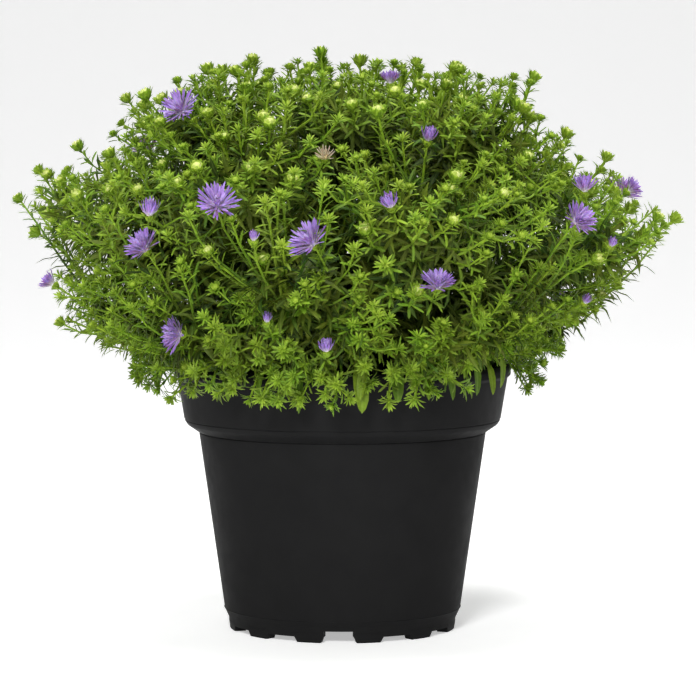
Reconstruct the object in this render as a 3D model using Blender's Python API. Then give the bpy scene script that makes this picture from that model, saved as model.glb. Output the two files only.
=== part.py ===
"""Potted aster: a dense clump of leafy stems with violet blooms in a round container pot.

All sizes are millimetres, +Z is up and the origin is on the pot's axis, in the plane its feet
stand on. The front is towards -Y. add_object scales each finished mesh to metres.
"""

import math
import random
from collections import namedtuple

import bmesh
import bpy
import numpy as np
from mathutils import Matrix, Vector

METRES = 0.001
UP = Vector((0.0, 0.0, 1.0))
GAP = 0.3

# Pot: radius and height of each corner of its section, up the outside, over the lip, down the inside
POT_SIDES = 48
POT_OUTSIDE = [(64.6, 6.5), (66.8, 11.3), (81.1, 111.2), (87.6, 115.6), (89.3, 118.4), (93.2, 142.0)]
POT_LIP = [(95.0, 143.6), (95.0, 147.2), (93.4, 149.5), (92.0, 149.5)]
POT_INSIDE = [(91.6, 142.0), (87.7, 117.9), (79.3, 110.9), (64.9, 8.0)]
RIM_RADIUS = 95.0
RIM_INSIDE = 90.0
RIM_HEIGHT = 149.5
FEET = 12
NOTCH_AZIMUTH = -1.8
FOOT_DEPTH = 8.0
FOOT_TAPER = 0.82
FOOT_LEAN = 0.3
# Every third notch is deep; the wall comes further down between the other feet
DEEP_EVERY = 3
SHALLOW_NOTCH = 3.1
DRAIN_RADIUS = 5.0
DRAIN_CIRCLE = 38.0
DRAIN_HOLES = 6

# Soil: it fills the pot to a finger's breadth below the lip
SOIL_SIDES = 24
SOIL_SECTION = [(64.6, 8.3), (78.9, 111.3), (87.2, 118.3), (89.3, 132.0)]
SOIL_RINGS = [66.0, 36.0]
SOIL_TOP = 134.5
SOIL_CROWN = 2.5
SOIL_LUMP = 1.4
STEM_HOLE = 2.8
HOLE_SIDES = 5
STEM_HOLE_DEPTH = 12.0

# Clump: the distance from the focus to the outermost tips, by angle above level
FOCUS = Vector((0.0, 0.0, 150.0))
REACH_ANGLE = [-11.0, -5.0, 5.0, 14.0, 23.6, 32.0, 37.0, 43.0, 56.0, 66.0, 90.0]
REACH = [104.0, 119.0, 134.0, 162.0, 198.0, 198.0, 188.0, 182.0, 184.0, 178.0, 172.0]

# Stems: each swells into a core that whorls of long leaves stand out of, and ends in a leader
STEMS = 20
STEM_SIDES = 7
STEM_FOOT = 1.9
CORE_RADIUS = 10.8
CORE_LEAST = 3.0
CORE_START = 0.08
CORE_SWELL = 0.35
LOWEST_STEM = -5.0
BASE_INNER = 7.0
BASE_SPREAD = 44.0
SHELL = 30.0
STEM_LOW = 164.0
STEM_WHORL_STEP = 25.0
STEM_LEAF_START = 0.2
STEM_LEAF = (25.0, 35.0)
STEM_LEAF_RISE = 36.0
TIP_ROOM = 12.0
STEM_ROOM = 1.5
BLUNT_END = 4.0
POT_ROOM = 2.0
GOLDEN = math.pi * (3.0 - math.sqrt(5.0))

# Shoots: short leaves in whorls of four, and a bud or a bloom's seat
SHOOT_RADIUS = 1.3
WHORL_RADIUS = 1.8
WHORL_HEIGHT = 1.1
WHORL_STEP = 25.5
WHORL_START = 12.0
LAST_WHORL = 7.0
COLLAR = 2.2
TURN_LEAST = 8.0
ROOT_LEAN = 0.6
BOW_MOST = 1.3
BUD_DEPTH = (2.9, 1.6)
LEAF = (13.0, 20.0)
LEAF_RISE = 30.0
BRACT = (6.0, 8.0)
BRACT_RISE = 36.0
SEAT_BRACT = (4.0, 5.0)
BUD_RADIUS = 2.6
LEAF_BALLS = 2.0
OWN_GAP = 0.25
NODE_GAP = 0.5
# Each pair: how far a shoot bulges sideways and upwards on its way to its tip
BENDS = [(0, 0), (5, 0), (-5, 0), (0, 5), (0, -5), (9, 4), (-9, 4), (9, -4), (-9, -4), (14, 0), (-14, 0)]
STEMS_TRIED = 4
FACES_TRIED = 10

# Blooms seen from the front: kind, foot of the bloom, the way it faces, its size
BLOOMS = [
    ("open", (-87, -52, 290), (-0.35, -0.75, 0.55), 0.96),
    ("open", (-64, -152, 240), (0.05, -0.80, 0.60), 0.96),
    ("brush", (-100, -134, 235), (0.05, -0.35, 0.93), 1.0),
    ("open", (-102, -130, 217), (-0.50, -0.55, 0.67), 0.84),
    ("open", (-14, -166, 221), (-0.60, -0.55, 0.60), 1.0),
    ("brush", (25, -160, 240), (-0.25, -0.55, 0.80), 0.85),
    ("brush", (45, -109, 274), (0.15, -0.45, 0.88), 0.85),
    ("half", (26, -58, 305), (0.00, -0.10, 1.00), 0.75),
    ("open", (49, -147, 198), (0.00, -0.50, 0.87), 0.8),
    ("open", (122, -118, 231), (0.50, -0.60, 0.60), 0.82),
    ("half", (129, -92, 247), (0.00, -0.35, 0.93), 0.85),
    ("half", (157, -39, 247), (0.75, -0.20, 0.60), 0.72),
    ("half", (-162, -6, 194), (-0.80, -0.10, 0.55), 0.75),
    ("open", (-85, -106, 172), (-0.85, -0.50, 0.10), 0.84),
    ("brush", (-8, -128, 164), (-0.10, -0.40, 0.90), 0.78),
    ("tipped", (131, -72, 187), (0.30, -0.60, 0.60), 1.0),
    ("tipped", (-39, -138, 180), (0.00, -0.40, 0.90), 1.0),
    ("tipped", (-45, -164, 223), (0.00, -0.40, 0.90), 1.0),
    ("withered", (-9, -126, 265), (0.00, -0.70, 0.70), 1.0),
    ("tipped", (143, -92, 218), (0.30, -0.50, 0.80), 1.0),
]
# Blooms of the sides and the back: kind, azimuth from the front, angle above level
FAR_BLOOMS = [
    ("open", 100.0, 30.0),
    ("brush", 118.0, 12.0),
    ("open", 140.0, 50.0),
    ("open", 172.0, 24.0),
    ("half", 188.0, 66.0),
    ("open", 205.0, 36.0),
    ("brush", 228.0, 15.0),
    ("open", 247.0, 44.0),
]
FAR_SIZE = 0.9
# Buds that stand out against the background at the sides and the top
OUTER_BUDS = [
    (-76, 8, 313), (-50, -20, 318), (-22, 25, 312), (-12, -8, 322), (63, -15, 313), (107, 5, 309),
    (126, 12, 277), (147, -12, 264), (-121, 6, 297), (-149, 14, 270), (-169, -10, 257),
    (-182, 6, 241), (-173, 18, 222), (-159, 10, 171), (-93, -62, 134), (185, -8, 230),
    (-66, -96, 140), (-34, -113, 137), (4, -119, 139), (38, -112, 138), (66, -99, 143),
]
# Buds spread over the back half, between these azimuths
BACK_BUDS = 10
BACK = (98.0, 262.0)

# Kind of bloom: rays in a ring, ray length, rise of the lower and of the upper ring of rays
BLOOM_KINDS = {
    "open": (10, 11.5, 28.0, 58.0),
    "half": (8, 9.5, 48.0, 68.0),
    "brush": (7, 7.0, 66.0, 78.0),
    "tipped": (5, 3.6, 70.0, 80.0),
    "withered": (7, 6.0, 35.0, 65.0),
}
BLOOM_FOOT = 1.7
# The two rings of rays: height of the lower and upper edge, radius, share of the ray length
RAY_RINGS = ((1.2, 2.2, 3.0, 1.0), (3.0, 3.8, 2.4, 0.85))
DISC_HEIGHT = 5.0
SMALL_BLOOM = 0.8


def clear_scene():
    for item in list(bpy.data.objects):
        bpy.data.objects.remove(item, do_unlink=True)


def make_material(name, colour, roughness, metallic=0.0):
    material = bpy.data.materials.new(name)
    material.use_nodes = True
    shader = material.node_tree.nodes["Principled BSDF"]
    shader.inputs["Base Color"].default_value = (*colour, 1.0)
    shader.inputs["Roughness"].default_value = roughness
    shader.inputs["Metallic"].default_value = metallic
    return material


def add_object(name, bm, material=None):
    """Scale a finished mesh to metres and put it in the scene under its own name."""
    bmesh.ops.recalc_face_normals(bm, faces=bm.faces)
    bmesh.ops.transform(bm, matrix=Matrix.Scale(METRES, 4), verts=bm.verts)
    mesh = bpy.data.meshes.new(name)
    bm.to_mesh(mesh)
    bm.free()
    if material:
        mesh.materials.append(material)
    thing = bpy.data.objects.new(name, mesh)
    bpy.context.scene.collection.objects.link(thing)
    return thing


def cut(thing, cutter):
    """Take the cutter out of the thing; the cutter stays as a hidden guide."""
    cutter.hide_render = True
    cutter.display_type = "WIRE"
    boolean = thing.modifiers.new("cut", "BOOLEAN")
    boolean.operation = "DIFFERENCE"
    boolean.solver = "EXACT"
    boolean.object = cutter


def turned(section, sides, turn):
    """A solid turned round Z from a section that starts and ends on the axis."""
    bm = bmesh.new()
    points = [bm.verts.new((radius, 0.0, height)) for radius, height in section]
    edges = [bm.edges.new(pair) for pair in zip(points, points[1:])]
    bmesh.ops.spin(bm, geom=points + edges, cent=(0, 0, 0), axis=UP, angle=math.tau, steps=sides)
    bmesh.ops.remove_doubles(bm, verts=bm.verts, dist=1e-3)
    bmesh.ops.rotate(bm, verts=bm.verts, cent=(0, 0, 0), matrix=Matrix.Rotation(turn, 3, "Z"))
    bmesh.ops.recalc_face_normals(bm, faces=bm.faces)
    return bm


def pot_turn():
    """The turn that puts a corner of the pot on each end of its notches."""
    return math.radians(NOTCH_AZIMUTH - 90.0) + math.pi / FEET / 2


def bottom_ring(bm):
    """The faces of the floor that lie over the feet and the notches."""
    return [
        face
        for face in bm.faces
        if face.calc_center_median().z < POT_OUTSIDE[0][1] + 0.01
        and face.calc_center_median().xy.length > POT_OUTSIDE[0][0] - FOOT_DEPTH
    ]


def draw_down(bm, faces, height, middle=0.0, taper=1.0):
    """Draw faces down to a height; their corners lean in and close up towards the middle angle."""
    grown = bmesh.ops.extrude_face_region(bm, geom=faces)["geom"]
    bmesh.ops.delete(bm, geom=faces, context="FACES_ONLY")
    centre = Vector((math.cos(middle), math.sin(middle)))
    for corner in (item for item in grown if isinstance(item, bmesh.types.BMVert)):
        swing = -corner.co.xy.angle_signed(centre)
        radius = corner.co.xy.length
        angle = middle - swing * taper
        lean = -FOOT_LEAN if radius > POT_OUTSIDE[0][0] - FOOT_DEPTH / 2 else FOOT_LEAN
        reach = radius + lean
        corner.co = Vector((reach * math.cos(angle), reach * math.sin(angle), height))
    return [item for item in grown if isinstance(item, bmesh.types.BMFace)]


def add_feet(bm):
    """The bottom ring comes down except at the deep notches, and goes on down as twelve feet."""
    pitch = math.tau / FEET
    first = pot_turn() + pitch / 4
    low = []
    for face in bottom_ring(bm):
        place = face.calc_center_median()
        steps = ((math.atan2(place.y, place.x) - first) / pitch) % FEET
        notch = int(steps) if 0.25 < steps % 1.0 < 0.75 else None
        if notch is None or (notch - FEET + 1) % DEEP_EVERY:
            low.append(face)
    low = draw_down(bm, low, SHALLOW_NOTCH)
    feet = []
    for number in range(FEET):
        middle = first + number * pitch
        heading = Vector((math.cos(middle), math.sin(middle)))
        faces = [
            face
            for face in low
            if abs(face.calc_center_median().xy.angle_signed(heading)) < pitch / 4
        ]
        feet.append((faces, middle))
    for faces, middle in feet:
        draw_down(bm, faces, 0.0, middle, FOOT_TAPER)


def drain_cutter():
    bm = bmesh.new()
    spots = [(0.0, 0.0)]
    for number in range(DRAIN_HOLES):
        angle = number * math.tau / DRAIN_HOLES
        spots.append((DRAIN_CIRCLE * math.cos(angle), DRAIN_CIRCLE * math.sin(angle)))
    for x, y in spots:
        bmesh.ops.create_cone(
            bm,
            cap_ends=True,
            segments=8,
            radius1=DRAIN_RADIUS,
            radius2=DRAIN_RADIUS,
            depth=6.0,
            matrix=Matrix.Translation((x, y, 7.2)),
        )
    return add_object("drain_cutter", bm)


def add_pot(material):
    floor_top = POT_INSIDE[-1][1]
    floor_bottom = POT_OUTSIDE[0][1]
    inner_foot = POT_OUTSIDE[0][0] - FOOT_DEPTH
    section = [(0.0, floor_bottom), (inner_foot, floor_bottom)]
    section += POT_OUTSIDE + POT_LIP + POT_INSIDE + [(0.0, floor_top)]
    bm = turned(section, POT_SIDES, pot_turn())
    add_feet(bm)
    pot = add_object("pot", bm, material)
    pot.data.shade_smooth()
    pot.data.set_sharp_from_angle(angle=math.radians(25.0))
    cut(pot, drain_cutter())


def soil_height(x, y):
    """A low crown with lumps from three crossed waves."""
    radius = math.hypot(x, y)
    crown = SOIL_CROWN * (1.0 - (radius / SOIL_SECTION[-1][0]) ** 2)
    lumps = math.sin(x / 9.0 + 1.0) + math.sin(y / 7.0 + x / 19.0) + math.sin((x - y) / 12.0)
    return SOIL_TOP + crown + SOIL_LUMP * lumps / 3.0


def stem_hole_cutter(bases):
    bm = bmesh.new()
    for base in bases:
        bottom = base.z - STEM_HOLE_DEPTH
        bmesh.ops.create_cone(
            bm,
            cap_ends=True,
            segments=HOLE_SIDES,
            radius1=STEM_HOLE,
            radius2=STEM_HOLE,
            depth=2.0 * STEM_HOLE_DEPTH,
            matrix=Matrix.Translation((base.x, base.y, bottom + STEM_HOLE_DEPTH)),
        )
    return add_object("stem_hole_cutter", bm)


def add_soil(material, bases):
    edge = SOIL_SECTION[-1]
    section = [(0.0, SOIL_SECTION[0][1])] + SOIL_SECTION
    section += [(radius, edge[1] + 2.0) for radius in SOIL_RINGS] + [(0.0, edge[1] + 2.0)]
    bm = turned(section, SOIL_SIDES, pot_turn())
    for corner in bm.verts:
        if corner.co.z > edge[1] + 1.0:
            corner.co.z = soil_height(corner.co.x, corner.co.y)
    soil = add_object("soil", bm, material)
    cut(soil, stem_hole_cutter(bases))


def heading(azimuth, elevation):
    """Unit vector: azimuth 0 is the front and grows towards +X; both are in degrees."""
    turn, rise = math.radians(azimuth), math.radians(elevation)
    return Vector((math.sin(turn) * math.cos(rise), -math.cos(turn) * math.cos(rise), math.sin(rise)))


def reach(elevation):
    return float(np.interp(elevation, REACH_ANGLE, REACH))


def outward(point):
    return (point - FOCUS).normalized()


def bezier(points, share):
    """A point of the cubic curve with these four control points."""
    a, b, c, d = points
    rest = 1.0 - share
    return a * rest**3 + b * (3 * rest**2 * share) + c * (3 * rest * share**2) + d * share**3


def from_rim(points):
    """Distance from points to the pot's wall: all below its top and between its two radii."""
    radius = np.hypot(points[:, 0], points[:, 1])
    aside = np.maximum(np.maximum(RIM_INSIDE - radius, radius - RIM_RADIUS), 0.0)
    above = np.maximum(points[:, 2] - RIM_HEIGHT, 0.0)
    return np.hypot(aside, above)


def room(points):
    """Distance from points to the pot and the soil."""
    inside = np.hypot(points[:, 0], points[:, 1]) < RIM_INSIDE + 2.0
    above_soil = points[:, 2] - SOIL_TOP - SOIL_CROWN - SOIL_LUMP
    return np.minimum(np.where(inside, above_soil, 1e3), from_rim(points))


class Stem:
    """A stem's way from its hole in the soil to the root of its leader."""

    def __init__(self, number):
        lowest = math.sin(math.radians(LOWEST_STEM))
        rise = 1.0 - (number + 0.5) / STEMS * (1.0 - lowest)
        self.elevation = math.degrees(math.asin(rise))
        self.azimuth = math.degrees(number * GOLDEN)
        self.aim = heading(self.azimuth, self.elevation)
        flat = heading(self.azimuth, 0.0)
        spread = BASE_INNER + BASE_SPREAD * (90.0 - self.elevation) / (90.0 - LOWEST_STEM)
        self.base = Vector((flat.x * spread, flat.y * spread, 0.0))
        self.base.z = soil_height(self.base.x, self.base.y)
        self.end = FOCUS + self.aim * (reach(self.elevation) - SHELL)
        self.end.z = max(self.end.z, STEM_LOW)
        start = self.base + UP * 3.0
        length = (self.end - start).length
        lean = (self.aim + flat * 0.25).normalized()
        self.curve = (start, start + UP * length * 0.45, self.end - lean * length * 0.3, self.end)


def core_radii(stem, lines, route, tips):
    """Radius allowed along a stem: it swells to the core and stays off stems, tips, pot and soil."""
    swell = np.clip((route.along / route.length - CORE_START) / CORE_SWELL, 0.0, 1.0)
    allowed = STEM_FOOT + (CORE_RADIUS - STEM_FOOT) * swell * swell * (3.0 - 2.0 * swell)
    for other, line in lines.items():
        if other is not stem:
            apart = np.linalg.norm(route.points[:, None] - line[None], axis=2).min(axis=1)
            allowed = np.minimum(allowed, apart * 0.5 - STEM_ROOM)
    from_tips = np.linalg.norm(route.points[:, None] - tips[None], axis=2).min(axis=1)
    allowed = np.minimum(allowed, from_tips - TIP_ROOM)
    allowed = np.minimum(allowed, room(route.points) - POT_ROOM)
    return np.maximum(allowed, np.minimum(CORE_LEAST, STEM_FOOT + swell * 10.0))


def ring_radii(route, allowed, places):
    """Radii of rings at these places whose straight joins stay inside the allowed radii."""
    radii = np.interp(places, route.along, allowed)
    for place, most in zip(route.along, allowed):
        if not places[0] < place < places[-1]:
            continue
        low = int(np.searchsorted(places, place)) - 1
        share = (place - places[low]) / (places[low + 1] - places[low])
        joined = radii[low] * (1.0 - share) + radii[low + 1] * share
        if joined > most:
            radii[low : low + 2] *= most / joined
    return radii


class Occupied:
    """Balls that stand for all that has grown so far, with the node and the part each belongs to."""

    def __init__(self):
        self.centres = np.zeros((0, 3))
        self.radii = np.zeros(0)
        self.nodes = np.zeros(0, int)
        self.parts = np.zeros(0, int)
        self.count = 0

    def new_part(self):
        self.count += 1
        return self.count

    def add(self, centres, radii, node, part):
        self.centres = np.vstack([self.centres, centres])
        self.radii = np.append(self.radii, radii)
        self.nodes = np.append(self.nodes, np.full(len(radii), node))
        self.parts = np.append(self.parts, np.full(len(radii), part))

    def clear(self, centres, radii, node, kin=(), free=0):
        """True where these balls keep their distance from all else; the first ones may touch kin."""
        if (room(centres) - radii < NODE_GAP).any():
            return False
        apart = np.linalg.norm(centres[:, None] - self.centres[None], axis=2)
        apart -= radii[:, None] + self.radii[None]
        apart[:free, np.isin(self.parts, kin)] = 1e3
        needed = np.where(self.nodes == node, OWN_GAP, NODE_GAP)
        return bool((apart > needed[None]).all())


def balls_along(points, thick, thin, spacing=1.5):
    """Centres and radii of balls along a line of points, from thick at its start to thin at its end."""
    points = np.asarray(points, float)
    steps = np.linalg.norm(np.diff(points, axis=0), axis=1)
    along = np.concatenate([[0.0], np.cumsum(steps)])
    count = max(3, int(along[-1] / spacing) + 1)
    places = np.linspace(0.0, along[-1], count)
    centres = np.stack([np.interp(places, along, points[:, k]) for k in range(3)], axis=1)
    return centres, np.linspace(thick, thin, count)


class Route:
    """A smooth curve with its length, read at any distance along it."""

    def __init__(self, curve):
        shares = np.linspace(0.0, 1.0, 60)
        self.points = np.array([bezier(curve, share) for share in shares])
        steps = np.diff(self.points, axis=0)
        self.along = np.concatenate([[0.0], np.cumsum(np.linalg.norm(steps, axis=1))])
        self.ways = np.gradient(self.points, axis=0)
        self.length = float(self.along[-1])

    def tightest(self):
        """The smallest radius the curve turns with."""
        ways = self.ways / np.linalg.norm(self.ways, axis=1)[:, None]
        turns = np.linalg.norm(np.diff(ways, axis=0), axis=1)
        return float((np.diff(self.along) / np.maximum(turns, 1e-6)).min())

    def at(self, place):
        centre = [float(np.interp(place, self.along, self.points[:, k])) for k in range(3)]
        way = [float(np.interp(place, self.along, self.ways[:, k])) for k in range(3)]
        return Vector(centre), Vector(way).normalized()


class LeafSite:
    """A small face that a blade may be drawn out of, with the blade's length and rise."""

    def __init__(self, face, centre, forward, lengths, rise, node, kin):
        self.face = face
        self.root = face.calc_center_median()
        self.half_width = (face.verts[1].co - face.verts[0].co).length / 2
        self.out = (self.root - centre).normalized()
        self.forward = forward
        self.lengths = lengths
        self.rise = rise
        self.node = node
        self.kin = kin

    def tip(self, length, rise):
        lift = math.radians(rise)
        return self.root + (self.out * math.cos(lift) + self.forward * math.sin(lift)) * length


class Tube:
    """A skin built ring by ring along a route, narrow bands of which are sites for leaves."""

    def __init__(self, bm, ring, centre, forward):
        self.bm = bm
        self.ring = ring
        across = ring[0].co - centre
        self.across = (across - forward * across.dot(forward)).normalized()

    def extend(self, centre, forward, radius, twist=0.0):
        """Join the last ring to a new one round the centre and return the faces between them."""
        self.across = (self.across - forward * self.across.dot(forward)).normalized()
        beside = forward.cross(self.across)
        count = len(self.ring)
        fresh = []
        for k in range(count):
            angle = twist + k * math.tau / count
            spot = centre + (self.across * math.cos(angle) + beside * math.sin(angle)) * radius
            fresh.append(self.bm.verts.new(spot))
        faces = []
        for side in range(count):
            after = (side + 1) % count
            quad = (self.ring[side], self.ring[after], fresh[after], fresh[side])
            faces.append(self.bm.faces.new(quad))
        self.ring = fresh
        return faces

    def centre(self):
        return sum((corner.co for corner in self.ring), Vector()) / len(self.ring)

    def point_off(self, tip):
        fan(self.bm, self.ring, tip)

    def close_flat(self):
        self.bm.faces.new(self.ring)


def fan(bm, ring, tip):
    apex = bm.verts.new(tip)
    for side in range(len(ring)):
        bm.faces.new((ring[side], ring[(side + 1) % len(ring)], apex))


def open_face(bm, face):
    """Take a face away and return the corners left round the opening."""
    ring = list(face.verts)
    bmesh.ops.delete(bm, geom=[face], context="FACES_ONLY")
    return ring


def draw_blade(bm, face, tip):
    """Draw a face out into a four-sided point."""
    fan(bm, open_face(bm, face), tip)


class Shoot:
    """A side shoot or a leader: where it ends, which way it faces there, and what it carries."""

    def __init__(self, stem, tip, facing, seat=0):
        self.stem = stem
        self.tip = Vector(tip)
        self.facing = Vector(facing).normalized()
        self.seat = seat
        self.face = None
        self.route = None
        self.part = 0

    def bend(self, root, normal, bulge):
        """Lay the shoot's curve from its root, lifted where it has to pass over the rim."""
        span = (self.tip - root).length
        over = 0.0
        if root.z < STEM_LOW - 6.0 and self.tip.xy.length > RIM_RADIUS and self.tip.z < STEM_LOW:
            over = 0.4 * span
        first = root + normal * span * 0.33 + bulge * 1.5 + UP * over
        second = self.tip - self.facing * span * 0.33
        self.route = Route((root, first, second, self.tip))


# The skin of a stem: its mesh, its open end, the faces for shoots, the sites for leaves, its part
Skin = namedtuple("Skin", "bm tube faces sites part")


def build_stem(stem, node, part, lines, tips, occupied):
    """Grow a stem's skin from its hole in the soil to the open end its leader starts from."""
    bm = bmesh.new()
    bottom = stem.base - UP * (STEM_HOLE_DEPTH - GAP)
    ring = []
    for k in range(STEM_SIDES):
        angle = k * math.tau / STEM_SIDES
        ring.append(bm.verts.new(bottom + Vector((math.cos(angle), math.sin(angle), 0)) * STEM_FOOT))
    bm.faces.new(list(reversed(ring)))
    tube = Tube(bm, ring, bottom, UP)
    route = Route(stem.curve)
    tube.extend(*route.at(0.0), STEM_FOOT)
    start = route.length * STEM_LEAF_START
    whorls = max(3, round((route.length - start) / STEM_WHORL_STEP) + 1)
    places = np.linspace(start, route.length, whorls)
    radii = ring_radii(route, core_radii(stem, lines, route, tips), places)
    sites, shoot_faces = [], []
    turn = math.pi / STEM_SIDES
    for number, (place, radius) in enumerate(zip(places, radii)):
        twist = turn * (number % 2)
        shoot_faces += tube.extend(*route.at(place - WHORL_HEIGHT), radius, twist)
        centre, way = route.at(place)
        for face in tube.extend(centre, way, radius, twist):
            sites.append(LeafSite(face, centre, way, STEM_LEAF, STEM_LEAF_RISE, node, (part,)))
    end, way = route.at(route.length)
    tube.extend(end + way * radii[-1] * 0.35, way, radii[-1] * 0.7)
    tube.extend(end + way * radii[-1] * 0.6, way, min(radii[-1] * 0.4, SHOOT_RADIUS * 1.5))
    reach_in = np.concatenate([[0.0], places])
    thick = np.interp(route.along, reach_in, np.concatenate([[STEM_FOOT], radii]))
    occupied.add(route.points, thick, node, part)
    return Skin(bm, tube, shoot_faces[STEM_SIDES:], sites, part)


def nearest_stems(stems, tip):
    """The numbers of the stems, from the one that points most nearly at the tip."""
    return sorted(range(len(stems)), key=lambda k: -outward(stems[k].end).dot(outward(tip)))


def plan_blooms():
    """Kind, foot, facing and size of every bloom."""
    plans = [(kind, Vector(foot), Vector(facing).normalized(), size) for kind, foot, facing, size in BLOOMS]
    for kind, azimuth, elevation in FAR_BLOOMS:
        way = heading(azimuth, elevation)
        foot = FOCUS + way * (reach(elevation) - 12.0)
        plans.append((kind, foot, (way * 0.7 + UP * 0.5).normalized(), FAR_SIZE))
    return plans


def plan_buds(draw):
    """Tip and facing of each side shoot that ends in a bud."""
    tips = [(Vector(place), (outward(Vector(place)) + UP * 0.5).normalized()) for place in OUTER_BUDS]
    for number in range(BACK_BUDS):
        rise = 0.97 - (number + 0.5) / BACK_BUDS * 1.02
        elevation = math.degrees(math.asin(rise)) + draw.uniform(-3.0, 3.0)
        share = (number * GOLDEN / math.tau) % 1.0
        way = heading(BACK[0] + (BACK[1] - BACK[0]) * share, elevation)
        tip = FOCUS + way * (reach(elevation) - draw.uniform(4.0, 12.0))
        tips.append((tip, (way + UP * 0.3).normalized()))
    return tips


def find_way(shoot, root, normal, occupied, kin):
    """Try the straightest curve first, then bent ones; keep the first that is clear."""
    away = (shoot.tip - root).normalized()
    side = away.cross(UP).normalized()
    over = side.cross(away)
    for aside, above in BENDS:
        shoot.bend(root, normal, side * aside + over * above)
        leaving = Vector(shoot.route.ways[0]).normalized()
        if shoot.route.tightest() < TURN_LEAST or leaving.dot(normal) < ROOT_LEAN:
            continue
        centres, radii = balls_along(shoot.route.points, SHOOT_RADIUS + 0.4, SHOOT_RADIUS + 0.8)
        if occupied.clear(centres[1:-3], radii[1:-3], shoot.stem, kin, 5):
            shoot.part = occupied.new_part()
            occupied.add(centres, radii, shoot.stem, shoot.part)
            return True
    return False


def root_shoot(shoot, faces, occupied, stem_part):
    """Choose the free face that gives the shoot the shortest clear way to its tip."""

    def cost(face):
        away = shoot.tip - face.calc_center_median()
        return away.length * (1.6 - face.normal.dot(away.normalized()))

    for face in sorted(faces, key=cost)[:FACES_TRIED]:
        root = face.calc_center_median()
        if face.normal.dot((shoot.tip - root).normalized()) < 0.1:
            continue
        if find_way(shoot, root, face.normal.copy(), occupied, (stem_part, shoot.seat)):
            shoot.face = face
            return True
    return False


def joints(route, low, high):
    """The places between two rings where the route bends too far for one straight piece."""
    middle = (low + high) / 2.0
    bow = route.at(middle)[0] - (route.at(low)[0] + route.at(high)[0]) / 2.0
    if bow.length < BOW_MOST:
        return []
    return joints(route, low, middle) + [middle] + joints(route, middle, high)


def grow_shoot(tube, shoot):
    """Bands along the shoot's curve, then its bud or the seat of its bloom; returns the leaf sites."""
    route = shoot.route
    turn = math.pi / len(tube.ring)
    kin = (shoot.part, shoot.seat)
    sites = []
    top = route.length - LAST_WHORL
    whorls = max(1, int((top - WHORL_START) / WHORL_STEP) + 1)
    twist = 0.0
    tube.extend(*route.at(COLLAR), SHOOT_RADIUS * 1.2, twist)
    behind = COLLAR
    for number in range(whorls):
        place = top - (whorls - 1 - number) * WHORL_STEP
        for spot in joints(route, behind, place - WHORL_HEIGHT) + [place - WHORL_HEIGHT]:
            tube.extend(*route.at(spot), SHOOT_RADIUS, twist)
        centre, way = route.at(place)
        behind = place
        for face in tube.extend(centre, way, WHORL_RADIUS, twist):
            sites.append(LeafSite(face, centre, way, LEAF, LEAF_RISE, shoot.stem, kin))
        twist += turn
    facing = shoot.facing
    tube.extend(shoot.tip - facing * BUD_DEPTH[0], facing, BUD_RADIUS * 0.8, twist)
    centre = shoot.tip - facing * BUD_DEPTH[1]
    lengths = SEAT_BRACT if shoot.seat else BRACT
    rise = 0.0 if shoot.seat else BRACT_RISE
    for face in tube.extend(centre, facing, BUD_RADIUS, twist):
        sites.append(LeafSite(face, centre, facing, lengths, rise, shoot.stem, kin))
    if shoot.seat:
        tube.extend(shoot.tip - facing * GAP, facing, BUD_RADIUS * 0.7, twist)
        tube.close_flat()
    else:
        tube.point_off(shoot.tip + facing * 0.8)
    return sites


def grow_leaf(bm, site, occupied, draw):
    """Draw a blade out of its site if there is room, shorter or turned where it has to be."""
    for share in (1.0, 0.85, 0.7, 0.5):
        tip = site.tip(draw.uniform(*site.lengths) * share, site.rise + draw.uniform(-12.0, 12.0))
        centres, radii = balls_along([site.root, tip], site.half_width + 0.1, 0.3, LEAF_BALLS)
        free = int((site.half_width * 1.6 + 2.5) / LEAF_BALLS)
        if occupied.clear(centres[1:], radii[1:], site.node, site.kin, free):
            draw_blade(bm, site.face, tip)
            occupied.add(centres[1:], radii[1:], site.node, occupied.new_part())
            return True
    return False


def grow_bloom(foot, facing, kind, full, node, occupied, draw):
    """Two rings of pointed rays round a low disc, on a flat foot; full is its share of full size."""
    rays, length, low_rise, high_rise = BLOOM_KINDS[kind]
    size = 1.0 if length > 8.0 else SMALL_BLOOM
    length = length * full
    bm = bmesh.new()
    across = facing.orthogonal().normalized()
    beside = facing.cross(across)
    ring = []
    for k in range(rays):
        angle = k * math.tau / rays
        spoke = across * math.cos(angle) + beside * math.sin(angle)
        ring.append(bm.verts.new(foot + spoke * BLOOM_FOOT))
    bm.faces.new(list(reversed(ring)))
    tube = Tube(bm, ring, foot, facing)
    part = occupied.new_part()
    for number, (low, high, radius, share) in enumerate(RAY_RINGS):
        twist = math.pi / rays * (number + 1)
        rise = high_rise if number else low_rise
        tube.extend(foot + facing * low * size, facing, radius * size, twist)
        for face in tube.extend(foot + facing * high * size, facing, radius * size, twist):
            centre = foot + facing * (face.calc_center_median() - foot).dot(facing)
            site = LeafSite(face, centre, facing, (length, length), rise, node, (part,))
            ray = length * share * draw.uniform(0.88, 1.06)
            tip = site.tip(ray, rise + draw.uniform(-6.0, 6.0))
            draw_blade(bm, face, tip)
            occupied.add(*balls_along([site.root, tip], 1.0, 0.4), node, part)
    tube.point_off(foot + facing * DISC_HEIGHT * size)
    body = [foot + facing * 2.5 * size, foot + facing * 3.5 * size]
    occupied.add(*balls_along(body, 3.0 * size, 2.6 * size), node, part)
    return bm, part


def grow_stems(stems, tips, occupied):
    """The bare skins of the stems, with their parts known to the others."""
    lines = {stem: Route(stem.curve).points for stem in stems}
    skins = []
    for node, stem in enumerate(stems):
        skin = build_stem(stem, node, occupied.new_part(), lines, tips, occupied)
        skin.bm.normal_update()
        skins.append(skin)
    return skins


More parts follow.
